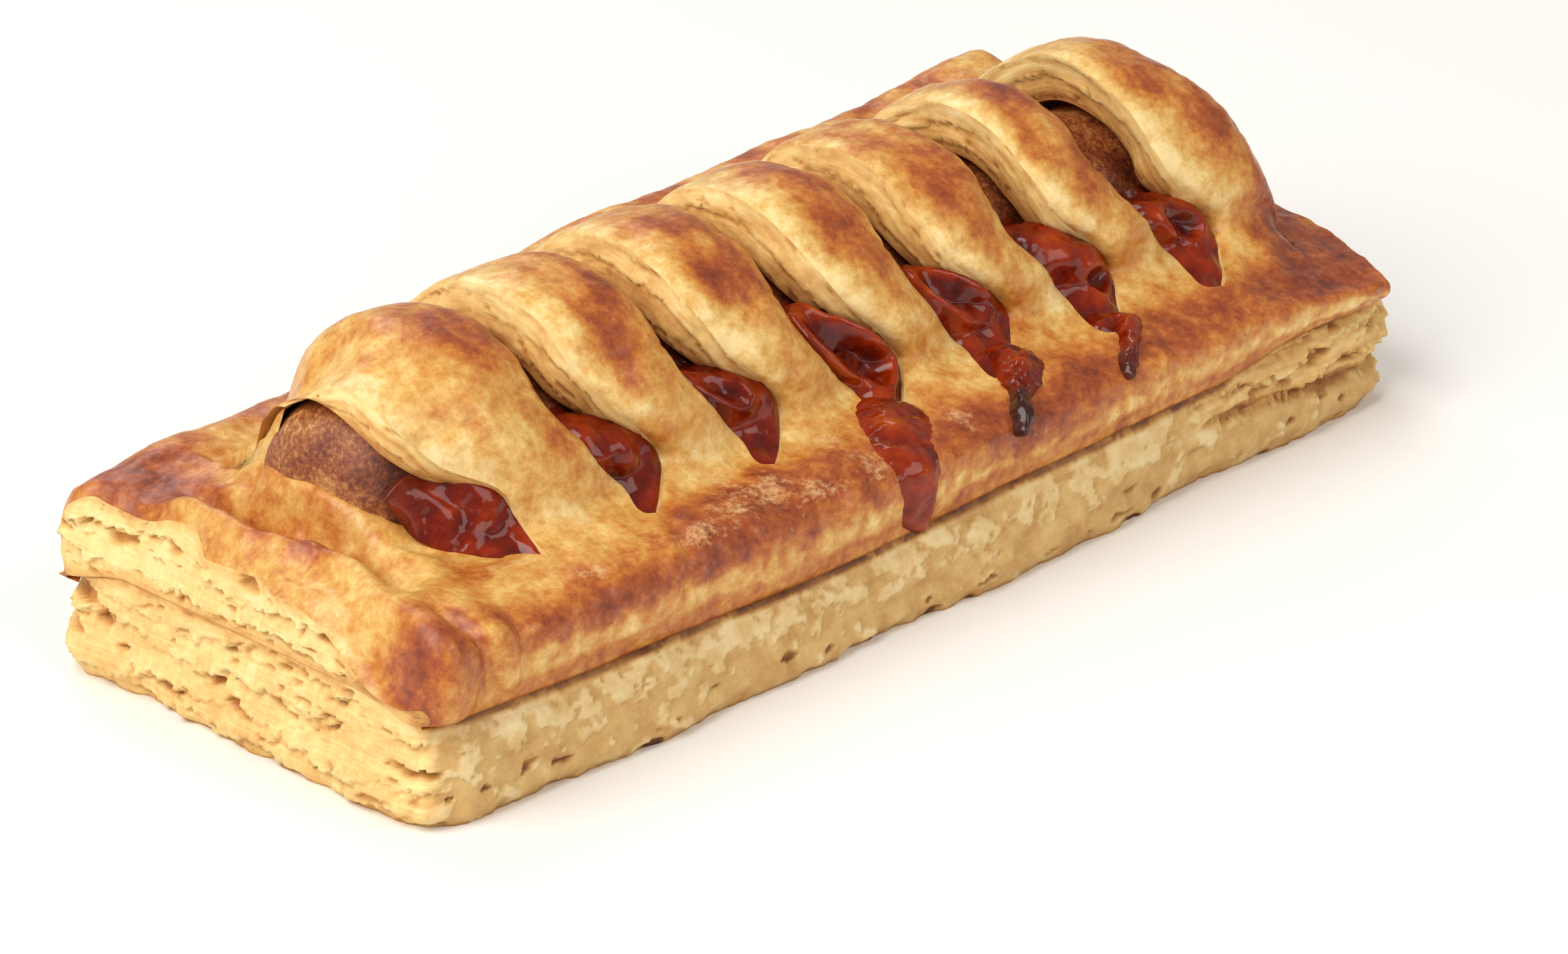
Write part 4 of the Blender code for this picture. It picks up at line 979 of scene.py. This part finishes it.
def sauceMaterial():
    # thick sweet red sauce: wet, dark in its depth, clear orange-red where it is thin, near black where it burnt
    material, tree = newMaterial("stickyRedSauce")
    place = addNode(tree, "ShaderNodeTexCoord").outputs["Object"]
    pulp = addNode(tree, "ShaderNodeTexNoise", {"Vector": place, "Scale": 300.0, "Detail": 6.0, "Roughness": 0.62})
    skinned = addNode(tree, "ShaderNodeTexNoise", {"Vector": place, "Scale": 700.0, "Detail": 3.0, "Distortion": 0.8})
    film = addNode(tree, "ShaderNodeMapRange", {"Value": skinned.outputs["Fac"], 1: 0.40, 2: 0.85, 3: 0.04, 4: 0.16})
    thin = addNode(tree, "ShaderNodeAttribute", attribute_name="thin").outputs["Fac"]
    burnt = addNode(tree, "ShaderNodeAttribute", attribute_name="burnt").outputs["Fac"]
    clear = addNode(tree, "ShaderNodeMath", {0: pulp.outputs["Fac"], 1: 0.9, 2: thin}, operation="MULTIPLY_ADD")
    wet = addNode(tree, "ShaderNodeValToRGB", {"Fac": clear.outputs[0]},
                  ramp=((0.22, "#420B02"), (0.44, "#701702"), (0.64, "#932B04"), (0.86, "#AC480C"), (1.0, "#BA6018")))
    dry = addNode(tree, "ShaderNodeValToRGB", {"Fac": pulp.outputs["Fac"]},
                  ramp=((0.3, "#24100C"), (0.6, "#48211A"), (0.8, "#6E3526")))
    look = addNode(tree, "ShaderNodeMix", {"Factor": burnt, "A": wet.outputs["Color"], "B": dry.outputs["Color"]},
                   data_type="RGBA")
    bump = addNode(tree, "ShaderNodeBump", {"Strength": 0.18, "Distance": 0.0004, "Height": pulp.outputs["Fac"]})
    wrinkled = addNode(tree, "ShaderNodeBump", {"Strength": 0.12, "Distance": 0.0002,
                                                "Height": skinned.outputs["Fac"], "Normal": bump.outputs[0]})
    shader = addNode(tree, "ShaderNodeBsdfPrincipled",
                     {"Base Color": look.outputs["Result"], "Roughness": film.outputs[0],
                      "Normal": wrinkled.outputs[0], "IOR": 1.4,
                      "Subsurface Weight": 0.15, "Subsurface Radius": (1.6, 0.2, 0.06), "Subsurface Scale": 0.001,
                      "Coat Weight": 0.1, "Coat Roughness": 0.03})
    addNode(tree, "ShaderNodeOutputMaterial", {"Surface": shader.outputs[0]})
    return material


stickySauce = sauceMaterial()


def closedPatch(name, grid, normals, deep, thin, burnt):
    # an open patch of sauce given an underside, and sewn shut
    whole = np.concatenate([grid, (grid - normals * deep)[::-1]], 0)
    count, tall = whole.shape[:2]
    faces = gridQuads(count, tall, flip=True)
    r = np.arange(tall - 1)
    closing = np.stack([(count - 1) * tall + r, (count - 1) * tall + r + 1, r + 1, r], 1)
    faces = np.concatenate([faces, closing]).tolist()
    faces.append([c * tall for c in range(count)])
    faces.append([c * tall + tall - 1 for c in range(count)][::-1])
    tones = {"thin": np.concatenate([thin, thin[::-1]], 0), "burnt": np.concatenate([burnt, burnt[::-1]], 0)}
    return makePiece(name, whole, faces, stickySauce, "sauce", tones)


def sauceFolds(flat, seed):
    # thick rounded folds, as in jam that has boiled and set, mm
    fold = np.tanh(2.2 * lump(flat, 5.0, seed, (0.8, 1.5, 1.5)))
    return 0.55 * fold + 0.42 * lump(flat, 3.0, seed + 1) + 0.07 * lump(flat, 1.2, seed + 2)


def buildSauce(n):
    u = np.linspace(-1.0, 1.0, sauce["across"])
    v = np.linspace(slitFront - 0.12, sauce["topRow"][n], sauce["down"])
    place = np.interp(v, rows, np.arange(rowCount))
    leftEdge, rightEdge = [np.stack([np.interp(place, np.arange(rowCount), skin[column, :, k]) for k in range(3)], 1)
                           for column in (firstOfStrip[n] - 1, firstOfStrip[n])]
    top = sauce["topRow"][n]
    grid = np.zeros((len(u), len(v), 3))
    for i, share in enumerate(u):
        over = mix(leftEdge, rightEdge, 0.5 + 0.5 * share)
        over[:, 0] += share * (2.2 if n == 0 and share < 0 else 0.45)
        x = over[:, 0]
        over = mix(over, skinAt(x, v), ((1.0 - share * share) * 0.8 * (n > 0)))
        sunk = sauce["sunk"][n] + (1.0 - sauce["sunk"][n] - sauce["spent"][n]) * smooth((v - 6.3) / (top - 6.3)) ** 1.3
        if n == 0:
            sunk = sunk - 0.42 * np.clip(-share, 0, 1) * smooth((v - 6.3) / 1.5)
        sunk = sunk + 0.10 * (share < 0) * (n > 0) * share * share + 0.5 * smooth((v - top + 0.8) / 0.8)
        grid[i] = mix(over, underAt(x, v), np.clip(sunk, 0.0, 1.2)[:, None])
    normals = gridNormals(grid)
    if normals[len(u) // 2, len(v) // 2, 2] < 0:
        normals = -normals
    flat = grid.reshape(-1, 3)
    edge = (1.0 - 0.85 * np.abs(u) ** 4)[:, None] * smooth((v - slitFront + 0.1) / 0.5)[None, :]
    push = edge * (sauceFolds(flat, 80 + 5 * n).reshape(grid.shape[:2]) + 0.25)
    for slit, across, row, wide, tall, depth in sauce["pits"]:
        if slit == n:
            pit = bell((u[:, None] - across) / wide) * bell((v[None, :] - row) / tall)
            around = np.sqrt(((u[:, None] - across) / wide) ** 2 + ((v[None, :] - row) / tall) ** 2)
            push = push - depth * pit + 0.45 * depth * bell((around - 1.5) / 0.45)
    grid = grid + normals * push[..., None]
    thin = 0.20 * np.maximum(push, -0.5) / 1.2 + 0.12 * lump(flat, 6.0, 120 + n).reshape(push.shape)
    burnt = 0.75 * smooth((-u[:, None] - 0.45) / 0.4) * smooth((v[None, :] - 6.4) / 1.2) * (n > 2) \
        + 0.5 * smooth((v[None, :] - sauce["topRow"][n] + 1.0) / 1.0) * np.ones_like(u[:, None])
    return closedPatch(f"sauceInSlit{n + 1}", grid, normals, 2.6, thin, np.clip(burnt, 0, 1))


for n in range(roll["slits"]):
    buildSauce(n)


def bakedSkinAt(x, row):
    # the finished surface of the rim with its relief, and its normal
    here, ahead, beside = skinAt(x, row), skinAt(x, row + 0.05), skinAt(x + 0.3, row)
    normal = np.cross(beside - here, ahead - here)
    normal = normal / np.linalg.norm(normal, axis=1, keepdims=True)
    normal = np.where(normal[:, 2:] + 0.5 * normal[:, 1:2] * np.sign(here[:, 1:2]) < 0, -normal, normal)
    relief = skinRelief(here[None], aroundOf(row)[None]).reshape(-1)
    return here + normal * relief[:, None], normal


def buildRun(name, path, thickness, burntShare, number):
    path = np.array(path, float)
    t = np.linspace(0.0, 1.0, 150)
    w = np.linspace(-1.0, 1.0, 60)
    x, s, half = [cubic(path[:, k], t * (len(path) - 1)) for k in range(3)]
    dx, ds = np.gradient(x), np.gradient(s)
    size = np.hypot(dx, ds)
    grid = np.zeros((len(w), len(t), 3))
    normals = np.zeros_like(grid)
    lift = np.zeros(grid.shape[:2])
    for i, share in enumerate(w):
        bank = np.stack([t * 30.0, t * 0 + np.sign(share) * 9.0, t * 0 + number * 7.0], 1)
        wobble = 1.0 + 0.22 * lump(bank, 3.4, 130) + 0.07 * lump(bank, 1.5, 133)
        reach = share * half * wobble * np.sqrt(np.clip(1.0 - np.clip((t - 0.86) / 0.14, 0, 1) ** 2, 0.02, 1))
        row = np.interp(crestTravel - (s + reach * dx / size), travel, fine)
        grid[i], normals[i] = bakedSkinAt(x - reach * ds / size, row)
        lift[i] = (1.0 - abs(share) ** 2.5)
    flat = grid.reshape(-1, 3)
    bumpy = (lump(flat, 3.6, 131) * 0.7 + lump(flat, 1.7, 132) * 0.32 * (0.6 + burntShare)
             + 0.10 * lump(flat, 0.8, 134)).reshape(lift.shape)
    tail = (smooth((1.0 - t) / 0.06) * smooth(t / 0.08))[None, :]
    height = (0.3 + thickness * (1.0 + bumpy)) * lift * tail - 0.25 * (1.0 - lift * tail)
    height = height - 1.0 * (1.0 - smooth(t / 0.16))[None, :]          # rises out of the sauce in the slit
    grid = grid + normals * height[..., None]
    thin = 0.14 + 0.25 * bumpy - 0.1 * burntShare
    burnt = burntShare * smooth((t - 0.42) / 0.30)[None, :] * (0.8 + 0.5 * bumpy) + 0.12
    return closedPatch(name, grid, normals, 0.7, thin, np.clip(burnt, 0.0, 1.0))


for number, (name, path, thickness, burntShare) in enumerate(sauce["runs"]):
    buildRun(name, path, thickness, burntShare, number)


# floor, light and camera
def buildStage():
    material, tree = newMaterial("paleCardFloor")      # matt white card, lit evenly
    shader = addNode(tree, "ShaderNodeBsdfPrincipled", {"Base Color": colour("#F4F2EF"), "Roughness": 0.9})
    addNode(tree, "ShaderNodeOutputMaterial", {"Surface": shader.outputs[0]})
    mesh = bpy.data.meshes.new("floor")
    mesh.from_pydata([(-3, -3, 0), (3, -3, 0), (3, 3, 0), (-3, 3, 0)], [], [(0, 1, 2, 3)])
    mesh.materials.append(material)
    floor = bpy.data.objects.new("floor", mesh)
    bpy.context.scene.collection.objects.link(floor)


light = dict(
    # name, place in metres, aim, size in metres, watts, hex
    lamps=(("bigSoftLeft", (-0.75, 0.05, 0.85), (0, 0, 0.02), 0.9, 12.6, "#FFFDF8"),
           ("softFront", (0.15, -1.1, 0.75), (0, 0, 0.02), 0.9, 5.8, "#FFFDFA"),
           ("softBack", (0.4, 0.9, 0.9), (0, 0, 0.03), 0.7, 4.4, "#FFFFFF")),
    sky=0.34,
)


def buildLight():
    for name, place, aim, size, watts, tint in light["lamps"]:
        lamp = bpy.data.lights.new(name, "AREA")
        lamp.shape = "SQUARE"
        lamp.size = size
        lamp.energy = watts
        lamp.color = colour(tint)[:3]
        lampObject = bpy.data.objects.new(name, lamp)
        lampObject.location = place
        lampObject.rotation_euler = (Vector(aim) - Vector(place)).to_track_quat("-Z", "Y").to_euler()
        bpy.context.scene.collection.objects.link(lampObject)
    world = bpy.data.worlds.new("studio")
    world.use_nodes = True
    world.node_tree.nodes["Background"].inputs["Color"].default_value = colour("#FBFAF8")
    world.node_tree.nodes["Background"].inputs["Strength"].default_value = light["sky"]
    bpy.context.scene.world = world
    bpy.context.scene.view_settings.view_transform = "Standard"


view = dict(azimuth=45.451, elevation=25.2, distance=1000.0, right=3.604, up=-14.484, height=22.0, lens=170.32)


def buildCamera():
    a, e = math.radians(view["azimuth"]), math.radians(view["elevation"])
    back = Vector((-math.sin(a) * math.cos(e), -math.cos(a) * math.cos(e), math.sin(e)))
    right = Vector((math.cos(a), -math.sin(a), 0.0))
    up = back.cross(right)
    spot = back * view["distance"] + right * view["right"] + up * view["up"] + Vector((0, 0, view["height"]))
    spot = (spot + Vector(modelShift)) / 1000.0
    data = bpy.data.cameras.new("camera")
    data.sensor_width = 36.0
    data.lens = view["lens"]
    data.clip_start, data.clip_end = 0.01, 20.0
    camera = bpy.data.objects.new("camera", data)
    camera.matrix_world = Matrix.Translation(spot) @ Matrix((right, up, back)).transposed().to_4x4()
    bpy.context.scene.collection.objects.link(camera)
    bpy.context.scene.camera = camera


buildStage()
buildLight()
buildCamera()
print("floor, light and camera ready")
